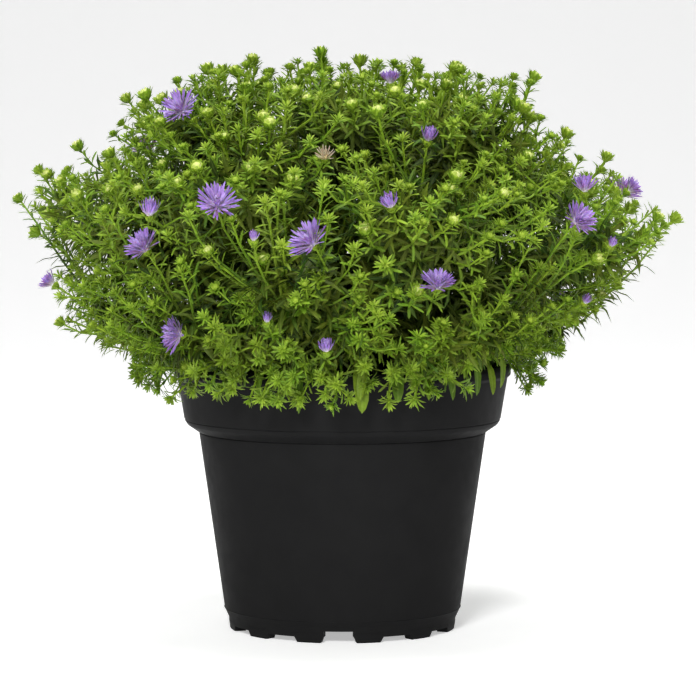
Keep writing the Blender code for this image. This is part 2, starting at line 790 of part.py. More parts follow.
def plan_leader(stem, node, skin, occupied, draw):
    """The leader goes on from the stem's end to the edge of the clump, aside where it must."""
    elevation = stem.elevation if stem.elevation > 10.0 else stem.elevation - 2.0
    aim = heading(stem.azimuth, elevation)
    side = aim.cross(UP).normalized()
    over = side.cross(aim)
    ahead = Route(stem.curve).at(1e3)[1]
    for aside, above in BENDS:
        tip = FOCUS + aim * (reach(elevation) - draw.uniform(2.0, 8.0)) + side * aside + over * above
        leader = Shoot(node, tip, (aim + UP * 0.2).normalized())
        if find_way(leader, skin.tube.centre(), ahead, occupied, (skin.part,)):
            return leader
    return None


def root_shoots(stems, skins, tips, occupied):
    """Give each tip a shoot from one of the stems that point most nearly at it."""
    shoots = []
    for tip, facing, seat in tips:
        for node in nearest_stems(stems, tip)[:STEMS_TRIED]:
            shoot = Shoot(node, tip, facing, seat)
            if root_shoot(shoot, skins[node].faces, occupied, skins[node].part):
                skins[node].faces.remove(shoot.face)
                shoots.append(shoot)
                break
    return shoots


def grow_shoots(stems, skins, shoots, occupied, draw):
    """Grow the leaders and the side shoots, and gather the leaf sites of the whole clump."""
    sites = []
    for node, (stem, skin) in enumerate(zip(stems, skins)):
        leader = plan_leader(stem, node, skin, occupied, draw)
        if leader:
            sites += [(skin.bm, site) for site in grow_shoot(skin.tube, leader)]
        else:
            skin.tube.point_off(skin.tube.centre() + stem.aim * BLUNT_END)
    for shoot in shoots:
        bm = skins[shoot.stem].bm
        root, normal = shoot.face.calc_center_median(), shoot.face.normal.copy()
        tube = Tube(bm, open_face(bm, shoot.face), root, normal)
        sites += [(bm, site) for site in grow_shoot(tube, shoot)]
    for skin in skins:
        sites += [(skin.bm, site) for site in skin.sites]
    return sites


def main():
    clear_scene()
    draw = random.Random(7)
    pot_plastic = make_material("pot_plastic", (0.012, 0.012, 0.013), 0.55)
    soil_mix = make_material("soil_mix", (0.035, 0.022, 0.014), 0.95)
    leaf_green = make_material("leaf_green", (0.13, 0.25, 0.03), 0.5)
    ray_violet = make_material("ray_violet", (0.33, 0.20, 0.62), 0.5)
    ray_withered = make_material("ray_withered", (0.60, 0.48, 0.38), 0.7)

    stems = [Stem(number) for number in range(STEMS)]
    add_pot(pot_plastic)
    add_soil(soil_mix, [stem.base for stem in stems])

    occupied = Occupied()
    bloom_plans, bud_plans = plan_blooms(), plan_buds(draw)
    places = [plan[1] for plan in bloom_plans] + [tip for tip, facing in bud_plans]
    skins = grow_stems(stems, np.array(places), occupied)
    tips, blooms = [], []
    for number, (kind, foot, facing, size) in enumerate(bloom_plans):
        bm, part = grow_bloom(foot, facing, kind, size, STEMS + number, occupied, draw)
        blooms.append((bm, kind))
        tips.append((foot, facing, part))
    tips += [(tip, facing, 0) for tip, facing in bud_plans]

    shoots = root_shoots(stems, skins, tips, occupied)
    sites = grow_shoots(stems, skins, shoots, occupied, draw)
    for bm, site in sites:
        grow_leaf(bm, site, occupied, draw)

    for node, skin in enumerate(skins):
        add_object(f"stem_{node + 1:02d}", skin.bm, leaf_green)
    for number, (bm, kind) in enumerate(blooms):
        add_object(f"bloom_{number + 1:02d}", bm, ray_withered if kind == "withered" else ray_violet)


main()
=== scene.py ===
"""The looks of the potted aster: fine foliage, blooms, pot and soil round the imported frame.

Everything is in metres, +Z up, with the front towards -Y. Foliage grows by rule from the same
stems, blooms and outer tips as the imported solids, and each fine piece stands for one of them.
"""

import math

import bmesh
import bpy
import numpy as np
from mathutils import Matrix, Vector


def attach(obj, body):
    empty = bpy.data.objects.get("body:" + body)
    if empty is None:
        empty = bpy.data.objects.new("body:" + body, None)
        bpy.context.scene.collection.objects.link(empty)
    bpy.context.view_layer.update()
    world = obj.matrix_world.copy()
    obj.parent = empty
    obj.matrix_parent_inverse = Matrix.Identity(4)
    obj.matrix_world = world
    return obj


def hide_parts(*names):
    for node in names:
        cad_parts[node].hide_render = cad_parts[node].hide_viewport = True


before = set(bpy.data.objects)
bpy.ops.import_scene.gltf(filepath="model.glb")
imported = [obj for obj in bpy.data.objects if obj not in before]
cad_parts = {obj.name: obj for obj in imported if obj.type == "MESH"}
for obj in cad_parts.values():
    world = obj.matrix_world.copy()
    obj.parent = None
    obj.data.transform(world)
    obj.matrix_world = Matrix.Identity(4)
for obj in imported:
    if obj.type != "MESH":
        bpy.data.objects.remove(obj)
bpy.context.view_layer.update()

MM = 0.001
UP = np.array([0.0, 0.0, 1.0])
GOLDEN = math.pi * (3.0 - math.sqrt(5.0))
CHANCE = np.random.default_rng(23)

# Pot: radius and height of its section, up the outside, over the lip, down the inside
POT_SIDES = 144
POT_OUTSIDE = [(64.6, 6.5), (66.8, 11.3), (81.1, 111.2), (87.6, 115.6), (89.3, 118.4), (93.2, 142.0)]
POT_LIP = [(95.0, 143.6), (95.0, 147.2), (93.6, 149.5), (92.2, 149.5)]
POT_INSIDE = [(91.4, 142.0), (87.7, 117.9), (79.3, 110.9), (64.9, 8.0)]
POT_FILLET = 0.45
# Grooves and the bead: places along the outside where the wall steps by a fraction of a millimetre
BEAD_HEIGHT = 0.4
BEAD_STEP = 0.45
GROOVE_DEPTH = 0.55
GROOVE_WIDTH = 0.5
FEET = 12
NOTCH_AZIMUTH = -1.8
FOOT_INNER = 57.2
FOOT_TAPER = 0.82
FOOT_LEAN = 0.3
# Every third notch is deep; the wall comes further down between the other feet
DEEP_EVERY = 3
SHALLOW_NOTCH = 3.1
# Drain holes: radius, circle that they stand on, and the heights that their plugs reach from and to
DRAIN_RADIUS = 5.0
DRAIN_CIRCLE = 38.0
DRAIN_HOLES = 6
DRAIN_FROM = 4.2
DRAIN_TO = 10.2
RIM_INNER = 88.5 * MM
RIM_OUTER = 96.0 * MM
RIM_TOP = 150.2 * MM

# Soil
SOIL_SIDES = 120
SOIL_RINGS = 34
SOIL_SECTION = [(64.5, 8.4), (78.8, 111.4), (87.1, 118.4), (89.2, 131.8)]
SOIL_RADIUS = 89.2
SOIL_TOP = 134.5
SOIL_CROWN = 2.5
SOIL_LUMP = 1.4
# Crumbs: how many, the least size and how much more, and each ring's place and width in shares
CRUMBS = 340
CRUMB_SIZE = (0.6, 2.2)
CRUMB_RINGS = [(-0.8, 0.4), (-0.2, 0.8), (0.5, 0.6)]
# Dry strands, every other one by the lip: azimuths, radii and heights of both kinds
STRANDS = 44
LIP_STRAND = ((38.0, 74.0), (76.0, 84.0), (14.0, 24.0))
LOOSE_STRAND = ((0.0, 360.0), (20.0, 82.0), (1.0, 3.0))
STRAND_SPAN = (9.0, 20.0)
STRAND_GIRTH = (0.2, 0.45)

# Clump: distance from the focus to the outermost tips, by angle above level, left and right
FOCUS = np.array([0.0, 0.0, 150.0]) * MM
REACH_ANGLE = [-11, -5, 0, 5, 9, 12, 16, 20, 23, 27, 32, 37, 43, 50, 56, 66, 80, 90]
REACH_LEFT = [106, 119, 126, 141, 160, 172, 172, 165, 181, 203, 203, 187, 183, 191, 189, 182, 174, 172]
REACH_RIGHT = [106, 118, 124, 128, 138, 155, 162, 185, 204, 197, 196, 188, 180, 181, 193, 184, 173, 172]
STEM_REACH_ANGLE = [-11.0, -5.0, 5.0, 14.0, 23.6, 32.0, 37.0, 43.0, 56.0, 66.0, 90.0]
STEM_REACH = [104.0, 119.0, 134.0, 162.0, 198.0, 198.0, 188.0, 182.0, 184.0, 178.0, 172.0]

# Stems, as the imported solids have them
STEMS = 20
STEM_RADII = (1.9 * MM, 1.1 * MM)
LOWEST_STEM = -5.0
BASE_INNER = 7.0
BASE_SPREAD = 44.0
SHELL = 30.0
STEM_LOW = 164.0
STEM_SINK = 6.0
# Shares of a stem's length from its two ends to the controls between, and the lean of its end
STEM_HANDLES = (0.45, 0.3)
STEM_LEAN = 0.25

# Twigs: how many tips there are, how deep they start, how they carry their leaves
TIPS = 1240
LOWEST_TIP = -9.0
TIP_SPACING = 7.0 * MM
BLOOM_SPACING = 11.5 * MM
# How far tips stray in azimuth and rise; their least depth, how much more, and the power of its draw
TIP_STRAY = (3.0, 2.5)
TIP_DEPTH = (3.0, 24.0, 1.4)
# Without tips: the space beside the rim, and low places at the front right, where the lip shows
BARE_RADIUS = 104.0 * MM
BARE_HEIGHT = RIM_TOP + 6.0 * MM
BARE_AZIMUTHS = (38.0, 66.0)
BARE_RISE = 3.0
# A bloom's middle over its foot; how far its views outwards and to the front stay free of tips
BLOOM_MIDDLE = 5.0
OUTWARD_VIEW = 30.0 * MM
FRONT_VIEW = (4.0 * MM, 60.0 * MM)
# Twigs' lines: first spot on a stem, cost of turning back, shares to the controls, lift, rim's gap
FIRST_SPOT = 8
BACKWARD_COST = 30.0 * MM
TWIG_HANDLES = (0.3, 0.34)
TWIG_LIFT = 6.0
RIM_MARGIN = 2.0 * MM
TWIG_LENGTH = (46.0, 84.0)
TWIG_RADII = (0.85 * MM, 0.5 * MM)
TWIG_STATIONS = 6
# Age of a twig's skin, by distance from its tip
TWIG_AGE = ([0, 15, 40], [0.3, 0.42, 0.8])
# An inner twig's skin is old and dark up to its tip: painted shade deep in the clump
INNER_TWIG_AGE_AND_SHADE = ([0, 15, 40], [0.8, 0.42, 0.8])
PLAIN_LEAVES = 12
MOST_LEAVES = 40
LEAFY_SHARE = 0.85
LEAF_STEP = (1.5, 1.05, 0.056)
LEAF_WIDTH = (1.15, 1.75)
# By distance from the tip: a leaf's rise in degrees, length, share of the width, bend and age; the age
# darkens leaves further down, partly as painted shade
LEAF_RISE = ([0, 8, 30, 60], [46.0, 38.0, 26.0, 10.0])
LEAF_LENGTH = ([0, 6, 16, 40], [4.4, 5.8, 8.2, 14.0])
LEAF_GIRTH = ([0, 16, 50], [0.85, 1.1, 2.0])
LEAF_BEND = ([0, 10, 30], [-0.12, -0.26, -0.3])
LEAF_AGE_AND_SHADE = ([0, 10, 32], [0.27, 0.46, 0.95])
# Leaves of the stems: their sizes, their spacing and their share of the size along the stem
CORE_LEAF = (19.0, 31.0)
CORE_LEAF_WIDTH = (3.8, 5.8)
CORE_LEAF_STEP = 0.8
CORE_LEAF_SIZE = ([0.0, 0.6, 0.85, 1.0], [1.0, 1.0, 0.55, 0.4])
# Stars at the tips: number of leaves, their length, rise and ages
BRACT_WIDTH = (0.88, 1.22)
BUD_STAR = (12, 4.8, 36.0, (0.28, 0.48))
LOWER_STAR = (10, 5.7, 26.0, (0.28, 0.5))
UPPER_STAR = (9, 3.7, 58.0, (0.15, 0.34))
UPPER_STAR_STEP = 1.4
# The inner star's old ages make it dark: painted shade deep in the clump
INNER_STAR = (7, 9.0, 50.0, (0.6, 0.9))
# Buds: their widths, and by height the share of tips that bear one and the share of wide buttons
SMALL_BUD_WIDTH = (3.0, 4.8)
BUTTON_WIDTH = (6.2, 8.6)
OUTER_BUD_WIDTH = (6.0, 8.0)
BUD_HEIGHTS = (150.0, 190.0, 240.0, 300.0)
BUD_SHARE = (0.15, 0.4, 0.5, 0.6)
BUTTON_SHARE = (0.0, 0.05, 0.12, 0.2)
# The heart of a small bud is no younger than this, that of a button is pale
SMALL_BUD_AGE = 0.22
# Painted shade: how much older, and so darker, the leaves and stars of the lowest tips are drawn, by
# height
LOW_TIP_SHADE = ([142.0, 200.0], [0.16, 0.0])
# Inner twigs, which bear old leaves only, dark as painted shade deep in the clump: how many, and how
# deep their tips lie
INNER_TIPS = 225
INNER_DEPTH = (34.0, 82.0)
INNER_LENGTH = (24.0, 46.0)
INNER_AGE_AND_SHADE = 24.0

# Blooms seen from the front: kind, foot of the bloom, the way it faces, its size
BLOOMS = [
    ("open", (-87, -52, 290), (-0.35, -0.75, 0.55), 0.96),
    ("open", (-64, -152, 240), (0.05, -0.80, 0.60), 0.96),
    ("brush", (-100, -134, 235), (0.05, -0.35, 0.93), 1.0),
    ("open", (-102, -130, 217), (-0.50, -0.55, 0.67), 0.84),
    ("open", (-14, -166, 221), (-0.60, -0.55, 0.60), 1.0),
    ("brush", (25, -160, 240), (-0.25, -0.55, 0.80), 0.85),
    ("brush", (45, -109, 274), (0.15, -0.45, 0.88), 0.85),
    ("half", (26, -58, 305), (0.00, -0.10, 1.00), 0.75),
    ("open", (49, -147, 198), (0.00, -0.50, 0.87), 0.78),
    ("open", (122, -118, 231), (0.50, -0.60, 0.60), 0.82),
    ("half", (129, -92, 247), (0.00, -0.35, 0.93), 0.85),
    ("half", (157, -39, 247), (0.75, -0.20, 0.60), 0.72),
    ("half", (-162, -6, 194), (-0.80, -0.10, 0.55), 0.75),
    ("open", (-85, -106, 172), (-0.85, -0.50, 0.10), 0.84),
    ("brush", (-8, -128, 164), (-0.10, -0.40, 0.90), 0.78),
    ("tipped", (131, -72, 187), (0.30, -0.60, 0.60), 1.0),
    ("tipped", (-39, -138, 180), (0.00, -0.40, 0.90), 1.0),
    ("tipped", (-45, -164, 223), (0.00, -0.40, 0.90), 1.0),
    ("withered", (-9, -126, 265), (0.00, -0.70, 0.70), 1.0),
    ("tipped", (143, -92, 218), (0.30, -0.50, 0.80), 1.0),
]
# Blooms of the sides and the back: kind, azimuth from the front, angle above level
FAR_BLOOMS = [
    ("open", 100.0, 30.0),
    ("brush", 118.0, 12.0),
    ("open", 140.0, 50.0),
    ("open", 172.0, 24.0),
    ("half", 188.0, 66.0),
    ("open", 205.0, 36.0),
    ("brush", 228.0, 15.0),
    ("open", 247.0, 44.0),
]
# How far inside the stems' reach their feet stand, and their size
FAR_BLOOM_DEPTH = 12.0 * MM
FAR_BLOOM_SIZE = 0.9
# Buds that stand out against the background, and low tips that hang over the rim
OUTER_BUDS = [
    (-76, 8, 313), (-50, -20, 318), (-22, 25, 312), (-12, -8, 322), (63, -15, 313), (107, 5, 309),
    (126, 12, 277), (147, -12, 264), (-121, 6, 297), (-149, 14, 270), (-169, -10, 257),
    (-182, 6, 241), (-173, 18, 222), (-159, 10, 171), (-93, -62, 134), (185, -8, 230),
    (-66, -96, 140), (-34, -113, 137), (4, -119, 139), (38, -112, 138), (66, -99, 143),
]
# Kind of bloom: ray length, width and curl, then for each layer its rays, share of length and rise
BLOOM_KINDS = {
    "open": (
        11.4, 1.25, 0.08, [(24, 1.0, 24), (24, 0.98, 38), (22, 0.88, 51), (17, 0.68, 65), (11, 0.46, 79)]
    ),
    "half": (9.6, 1.2, 0.14, [(20, 1.0, 44), (18, 0.94, 56), (14, 0.78, 68), (9, 0.52, 80)]),
    "brush": (7.4, 1.15, 0.62, [(20, 0.96, 36), (18, 1.0, 50), (14, 0.96, 62), (9, 0.86, 76)]),
    "tipped": (4.6, 0.9, 0.34, [(14, 1.0, 58), (11, 0.95, 70)]),
    "withered": (5.4, 0.8, 0.3, [(16, 1.0, 30), (14, 0.8, 50), (10, 0.6, 72)]),
}
# Neck under the rays: its section, in full on a bloom whose rays are at least this long
NECK_SIDES = 12
NECK_RAYS = 9.0
NECK_HEIGHTS = np.array([0.3, 1.4, 2.6, 3.4])
NECK_RADII = np.array([1.3, 2.2, 2.5, 1.4])
NECK_APEX = 3.6
# Roots of the rays: height of the lowest layer, step to the next, and radius of the lowest
RAY_ROOTS = (1.6, 0.4, 2.1)
# Cup of bracts that holds a bloom: how far under the tip it stands, and its width
CALYX_DROP = 2.6
CALYX_WIDTH = 5.0
# Low tips that hang over the rim, from the left round the front: azimuths, radius and height
RIM_TIPS = 17
RIM_TIP_AZIMUTHS = (-84.0, 38.0)
RIM_TIP_RADIUS = (102.0, 118.0)
RIM_TIP_HEIGHT = (134.0, 160.0)
# How far the fringe's tips are turned aside, so that their twigs show from the side
RIM_TIP_TURN = 1.1
# How much a tip turns upwards, by its height
HANGING = ([138.0, 172.0], [-0.15, 0.45])
# Broad old leaves that droop over the rim: azimuth, length, width, turn aside and slope down
RIM_LEAVES = [
    (4.0, 28.0, 9.0, 0.3, 1.7), (8.0, 23.0, 6.0, -0.6, 1.2), (18.0, 23.0, 7.0, -0.2, 1.6),
    (24.0, 21.0, 6.0, 0.3, 1.1), (33.0, 24.0, 7.0, 0.35, 1.6), (38.0, 22.0, 5.5, 0.6, 1.1),
    (46.0, 21.0, 5.4, 0.0, 2.2), (54.0, 19.0, 4.8, -0.3, 1.8), (61.0, 20.0, 5.6, -0.1, 2.4),
    (70.0, 20.0, 5.0, 0.2, 1.2), (-13.0, 28.0, 4.6, 0.1, 2.0), (-24.0, 23.0, 5.0, -0.5, 1.4),
    (-38.0, 23.0, 5.0, 0.4, 1.4), (-52.0, 24.0, 5.0, -0.4, 1.6), (98.0, 25.0, 7.0, 0.2, 1.2),
    (131.0, 26.0, 7.5, -0.3, 1.6), (160.0, 24.0, 6.5, 0.3, 1.2), (196.0, 26.0, 7.0, -0.2, 1.5),
    (229.0, 24.0, 6.0, 0.3, 1.2), (262.0, 26.0, 7.0, -0.3, 1.4),
]
RIM_LEAF_RADIUS = 97.5
RIM_LEAF_HEIGHT = 157.5
RIM_LEAF_AGE = 0.66
RIM_TWIG_RADII = (1.1 * MM, 0.7 * MM)
RIM_TWIG_AGE = 0.8
RIM_TWIG_ARCH = 9.0
# How far inwards of a leaf's root, and above it, its twig's last control lies
RIM_TWIG_INWARDS = 8.0
RIM_TWIG_ABOVE = 2.0
# Thin places within the clump, where further inner twigs end
THIN_PLACES = [
    (81, -64, 205), (84, -24, 199), (79, 18, 208), (86, 56, 203), (92, 36, 216), (72, 44, 194),
    (70, -44, 214), (96, 2, 207), (15, -60, 226), (18, 20, 224), (12, 66, 228),
    (74, -40, 199), (70, 2, 196), (77, 34, 200), (68, 68, 198), (80, -52, 194), (64, -20, 200),
    (6, -84, 228), (10, -20, 232), (4, 40, 226), (14, 88, 231), (0, -52, 220), (48, 30, 186),
    (3, 30, 238), (2, -30, 240), (-29, 24, 234), (-28, -36, 236), (-54, 28, 220), (-53, -20, 221),
    (-55, 48, 213), (-53, -38, 215), (-17, 34, 210), (-16, -44, 212), (-75, 22, 204),
    (-74, -30, 205), (-82, 20, 182), (-80, -24, 184), (-70, 32, 176), (-69, -20, 178),
    (-62, 62, 200), (-40, 68, 224), (-86, 46, 196), (-32, -4, 224), (-88, -6, 192),
    (-64, 4, 210), (-36, 44, 206), (-42, -48, 226), (-66, -50, 196), (-20, 70, 230),
    (76, 30, 223), (82, -28, 222), (90, 8, 226), (101, 30, 214), (72, 68, 212), (106, -12, 206),
    (108, 36, 200), (86, 74, 208), (60, 92, 216), (96, -44, 213), (88, -6, 216), (68, 6, 210),
    (112, 12, 196), (80, 44, 216), (74, -62, 208), (98, 54, 192),
]


def unit(vectors):
    return vectors / np.maximum(np.linalg.norm(vectors, axis=-1, keepdims=True), 1e-12)


def between(low, high, count=None):
    """Even random draws between two numbers, or a single one."""
    return CHANCE.uniform(low, high, count)


def heading(azimuth, elevation):
    """Unit vectors: azimuth 0 is the front and grows towards +X; both are in degrees."""
    turn, rise = np.radians(azimuth), np.radians(elevation)
    flat = np.cos(rise)
    return np.stack([np.sin(turn) * flat, -np.cos(turn) * flat, np.sin(rise) + 0.0 * turn], axis=-1)


def square_to(way):
    """Two unit vectors square to this one and to each other."""
    across = unit(np.cross(way, [0.3, 0.8, 0.5]))
    return across, np.cross(way, across)


def spokes_round(across, beside, angles):
    """Unit vectors turned by these angles from across towards beside."""
    return across * np.cos(angles)[:, None] + beside * np.sin(angles)[:, None]


def tilted(spokes, axis, rise):
    """Ways that rise from the spokes towards the axis by these angles, and faces square to them."""
    level, steep = np.cos(rise)[:, None], np.sin(rise)[:, None]
    return spokes * level + axis * steep, axis * level - spokes * steep


def even_angles(count, stray=None):
    """Angles evenly round a circle from a random start, each off by up to the stray."""
    angles = between(0.0, 6.0) + full_turn(count)
    return angles if stray is None else angles + between(-stray, stray, count)


def full_turn(count):
    """Angles evenly round a circle."""
    return np.arange(count) * math.tau / count


def dome(number, count, lowest):
    """Azimuth and angle above level of places spread evenly over a dome, from its top down."""
    rise = 1.0 - (number + 0.5) / count * (1.0 - math.sin(math.radians(lowest)))
    return np.degrees(number * GOLDEN), np.degrees(np.arcsin(rise))


def from_axis(points):
    """Distance of points from the pot's axis."""
    return np.hypot(points[..., 0], points[..., 1])


def stem_reach(elevation):
    """Distance from the focus to a stem's end, read between the named angles above level."""
    return np.interp(elevation, STEM_REACH_ANGLE, STEM_REACH) * MM


def reach(azimuth, elevation):
    """Distance to the outermost tips: the left and right outlines, blended round the clump."""
    right = 0.5 + 0.5 * np.sin(np.radians(azimuth))
    left_reach = np.interp(elevation, REACH_ANGLE, REACH_LEFT)
    right_reach = np.interp(elevation, REACH_ANGLE, REACH_RIGHT)
    return (left_reach * (1.0 - right) + right_reach * right) * MM


class Line:
    """One sampled cubic curve through four control points, read at any distance from its start."""

    def __init__(self, controls, samples=40):
        t = np.linspace(0.0, 1.0, samples)[:, None]
        a, b, c, d = controls
        self.points = a * (1 - t) ** 3 + b * 3 * t * (1 - t) ** 2 + c * 3 * t * t * (1 - t) + d * t**3
        steps = np.linalg.norm(np.diff(self.points, axis=0), axis=1)
        self.places = np.concatenate([[0.0], np.cumsum(steps)])
        self.length = self.places[-1]
        self.ways = unit(np.gradient(self.points, axis=0))
        chord = unit(self.points[-1] - self.points[0])
        spare = np.array([1.0, 0.0, 0.0]) if abs(chord[0]) < 0.7 else np.array([0.0, 1.0, 0.0])
        self.across = unit(np.cross(chord, spare))

    def at(self, places):
        """Spots and ways at these distances from the start."""
        columns = np.concatenate([self.points, self.ways], axis=1).T
        read = np.stack([np.interp(places, self.places, column) for column in columns], axis=-1)
        return read[..., :3], unit(read[..., 3:])

    def spokes(self, ways, angles):
        """Unit vectors square to the line, turned round it by these angles."""
        across = unit(self.across - ways * (ways @ self.across)[:, None])
        return spokes_round(across, np.cross(ways, across), angles)


class Piece:
    """A mesh gathered from spindles: rings of corners, closed flat at the start and in a point."""

    def __init__(self):
        self.corners, self.loops, self.sizes = [], [], []
        self.maps, self.ages, self.tones = [], [], []
        self.count = 0

    def add(self, rings, apexes, age=0.0, tone=0.0, along=None, aside=None):
        """rings is (N, R, S, 3), apexes (N, 3); age and tone are (N,) or (N, R + 1) or one number."""
        number, levels, sides = rings.shape[:3]
        block = np.concatenate([rings.reshape(number, -1, 3), apexes[:, None]], axis=1)
        side = np.arange(sides)
        after = (side + 1) % sides
        low = np.arange(levels - 1)[:, None] * sides
        quads = np.stack([low + side, low + after, low + sides + after, low + sides + side], axis=-1)
        last = (levels - 1) * sides
        tips = np.stack([last + side, last + after, np.full(sides, levels * sides)], axis=-1)
        first = self.count + np.arange(number)[:, None, None] * block.shape[1]
        for faces in (quads.reshape(-1, 4), tips, side[None, ::-1]):
            self.loops.append((first + faces[None]).ravel())
            self.sizes.append(np.full(number * len(faces), faces.shape[1]))
        along = np.linspace(0.0, 1.0, levels) if along is None else along
        aside = np.full(sides, 0.15) if aside is None else aside
        spread = np.stack(np.broadcast_arrays(along[:, None], aside[None, :]), axis=-1).reshape(-1, 2)
        spread = np.concatenate([spread, [[1.0, 0.5]]])
        self.maps.append(np.broadcast_to(spread, (number, *spread.shape)).reshape(-1, 2))
        for values, kept in ((age, self.ages), (tone, self.tones)):
            graded = np.broadcast_to(np.asarray(values, float).reshape(number, -1), (number, levels + 1))
            each = np.concatenate([np.repeat(graded[:, :-1], sides, axis=1), graded[:, -1:]], axis=1)
            kept.append(each.ravel())
        self.corners.append(block.reshape(-1, 3))
        self.count += number * block.shape[1]

    def finish(self, name, material, slot, nodes, sharp=40.0):
        """Make the mesh and its object, which rides on the root and stands for these nodes."""
        loops, sizes = np.concatenate(self.loops), np.concatenate(self.sizes)
        mesh = bpy.data.meshes.new(name)
        mesh.vertices.add(self.count)
        mesh.vertices.foreach_set("co", np.concatenate(self.corners).astype(np.float32).ravel())
        mesh.loops.add(len(loops))
        mesh.loops.foreach_set("vertex_index", loops.astype(np.int32))
        mesh.polygons.add(len(sizes))
        mesh.polygons.foreach_set("loop_start", (np.cumsum(sizes) - sizes).astype(np.int32))
        mesh.update(calc_edges=True)
        spread = mesh.uv_layers.new(name="spread")
        spread.uv.foreach_set("vector", np.concatenate(self.maps)[loops].astype(np.float32).ravel())
        for label, kept in (("age", self.ages), ("tone", self.tones)):
            attribute = mesh.attributes.new(label, "FLOAT", "POINT")
            attribute.data.foreach_set("value", np.concatenate(kept).astype(np.float32))
        mesh.shade_smooth()
        mesh.set_sharp_from_angle(angle=math.radians(sharp))
        mesh.materials.append(material)
        thing = new_object(name, mesh)
        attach(thing, "root")
        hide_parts(*nodes)
        return thing


# Where each corner of a blade lies across its map: the edges at 1 and 0, the middle at half
OPEN_TOP = np.array([1.0, 0.0, 0.5])
FULL = np.array([1.0, 0.5, 0.0, 0.5])
# Outline of a blade: shares of its length, the width there, its gutter, thickness and corners
LEAF_FORM = (np.array([0.0, 0.42, 0.84]), np.array([0.34, 0.95, 0.84]), 0.34, 0.34 * MM, OPEN_TOP)
INNER_FORM = (np.array([0.0, 0.6]), np.array([0.45, 1.0]), 0.30, 0.4 * MM, OPEN_TOP)
CORE_FORM = (np.array([0.0, 0.25, 0.68]), np.array([0.22, 0.85, 0.95]), 0.25, 0.4 * MM, OPEN_TOP)
BRACT_FORM = (np.array([0.0, 0.66]), np.array([0.75, 1.0]), 0.30, 0.35 * MM, OPEN_TOP)
RAY_FORM = (np.array([0.0, 0.3, 0.7, 0.92]), np.array([0.5, 0.9, 1.0, 0.55]), 0.22, 0.2 * MM, FULL)
BROAD_FORM = (
    np.array([0.0, 0.12, 0.32, 0.55, 0.78, 0.92]),
    np.array([0.20, 0.42, 0.90, 1.0, 0.80, 0.48]),
    0.30,
    0.45 * MM,
    FULL,
)


def blades(roots, ways, faces, lengths, widths, bends, form):
    """Closed blades with four or three corners at each station, as rings and apexes.

    The middle line is root + way * length * t + face * length * bend * t * t. The corners are the
    two edges, half a width aside and lifted by the gutter's share of that, and a keel. A broad
    blade also has a top; on a narrow one it is left out.
    """
    stations, shares, gutter, thickness, across = form
    sides = unit(np.cross(faces, ways))
    faces = np.cross(ways, sides)
    t = stations[None, :, None]
    long, bend = lengths[:, None, None], bends[:, None, None]
    middle = roots[:, None] + ways[:, None] * long * t + faces[:, None] * long * bend * t * t
    slopes = unit(ways[:, None] + faces[:, None] * 2.0 * bend * t)
    lifts = np.cross(slopes, np.broadcast_to(sides[:, None], slopes.shape))
    half = widths[:, None, None] * 0.5 * shares[None, :, None]
    body = thickness * 0.5 * (1.0 - 0.6 * t) * lifts
    edge = sides[:, None] * half
    raised = middle + lifts * half * gutter
    corners = [raised + edge, middle + body, raised - edge, middle - body]
    if len(across) == 3:
        corners.pop(1)
    rings = np.stack(corners, axis=2)
    apexes = roots + ways * lengths[:, None] + faces * (lengths * bends)[:, None]
    return rings, apexes


def clear_of_pot(rings, apexes):
    """True for the blades that neither touch nor step across the pot's wall, nor touch the soil."""
    corners = np.concatenate([rings.reshape(len(rings), -1, 3), apexes[:, None]], axis=1)
    radius, height = from_axis(corners), corners[..., 2]
    in_wall = (radius > RIM_INNER) & (radius < RIM_OUTER) & (height < RIM_TOP)
    in_soil = (radius <= RIM_INNER) & (height < (SOIL_TOP + 3.0) * MM)
    middles = np.concatenate([rings.mean(axis=2), apexes[:, None]], axis=1)
    radius, height = from_axis(middles), middles[..., 2]
    inner, outer = np.minimum(radius[:, :-1], radius[:, 1:]), np.maximum(radius[:, :-1], radius[:, 1:])
    low = np.minimum(height[:, :-1], height[:, 1:]) < RIM_TOP
    across = (inner < RIM_INNER) & (outer > RIM_OUTER) & low
    return ~(in_wall.any(axis=1) | in_soil.any(axis=1) | across.any(axis=1))


def add_blades(piece, form, roots, ways, faces, lengths, widths, bends, age, tone):
    """Add the blades that stay clear of the pot."""
    if not len(roots):
        return
    rings, apexes = blades(roots, ways, faces, lengths, widths, bends, form)
    kept = clear_of_pot(rings, apexes)
    if kept.any():
        piece.add(rings[kept], apexes[kept], age[kept], tone[kept], form[0], form[4])


def tube(line, radii, stations, sides):
    """Rings round a whole line, between its first and last radius, and an apex past its end."""
    spots, ways = line.at(np.linspace(0.0, line.length, stations))
    radii = np.linspace(*radii, stations)
    rings = []
    for angle in full_turn(sides):
        rings.append(spots + line.spokes(ways, np.full(stations, angle)) * radii[:, None])
    return np.stack(rings, axis=1)[None], (spots[-1] + ways[-1] * radii[-1])[None]


def soil_height(x, y):
    """A low crown with lumps from three crossed waves, in millimetres."""
    crown = SOIL_CROWN * (1.0 - (x * x + y * y) / SOIL_RADIUS**2)
    lumps = np.sin(x / 9.0 + 1.0) + np.sin(y / 7.0 + x / 19.0) + np.sin((x - y) / 12.0)
    return SOIL_TOP + crown + SOIL_LUMP * lumps / 3.0


def stem_controls(number):
    """The four control points of a stem, from its hole in the soil to the root of its leader."""
    azimuth, elevation = dome(number, STEMS, LOWEST_STEM)
    aim, flat = heading(azimuth, elevation), heading(azimuth, 0.0)
    base = flat * (BASE_INNER + BASE_SPREAD * (90.0 - elevation) / (90.0 - LOWEST_STEM))
    base[2] = soil_height(base[0], base[1])
    end = FOCUS + aim * (stem_reach(elevation) - SHELL * MM)
    end[2] = max(end[2], STEM_LOW * MM)
    start = base * MM + UP * 3.0 * MM
    length = np.linalg.norm(end - start)
    lean = unit(aim + flat * STEM_LEAN)
    low, high = STEM_HANDLES
    return np.array([start, start + UP * length * low, end - lean * length * high, end])


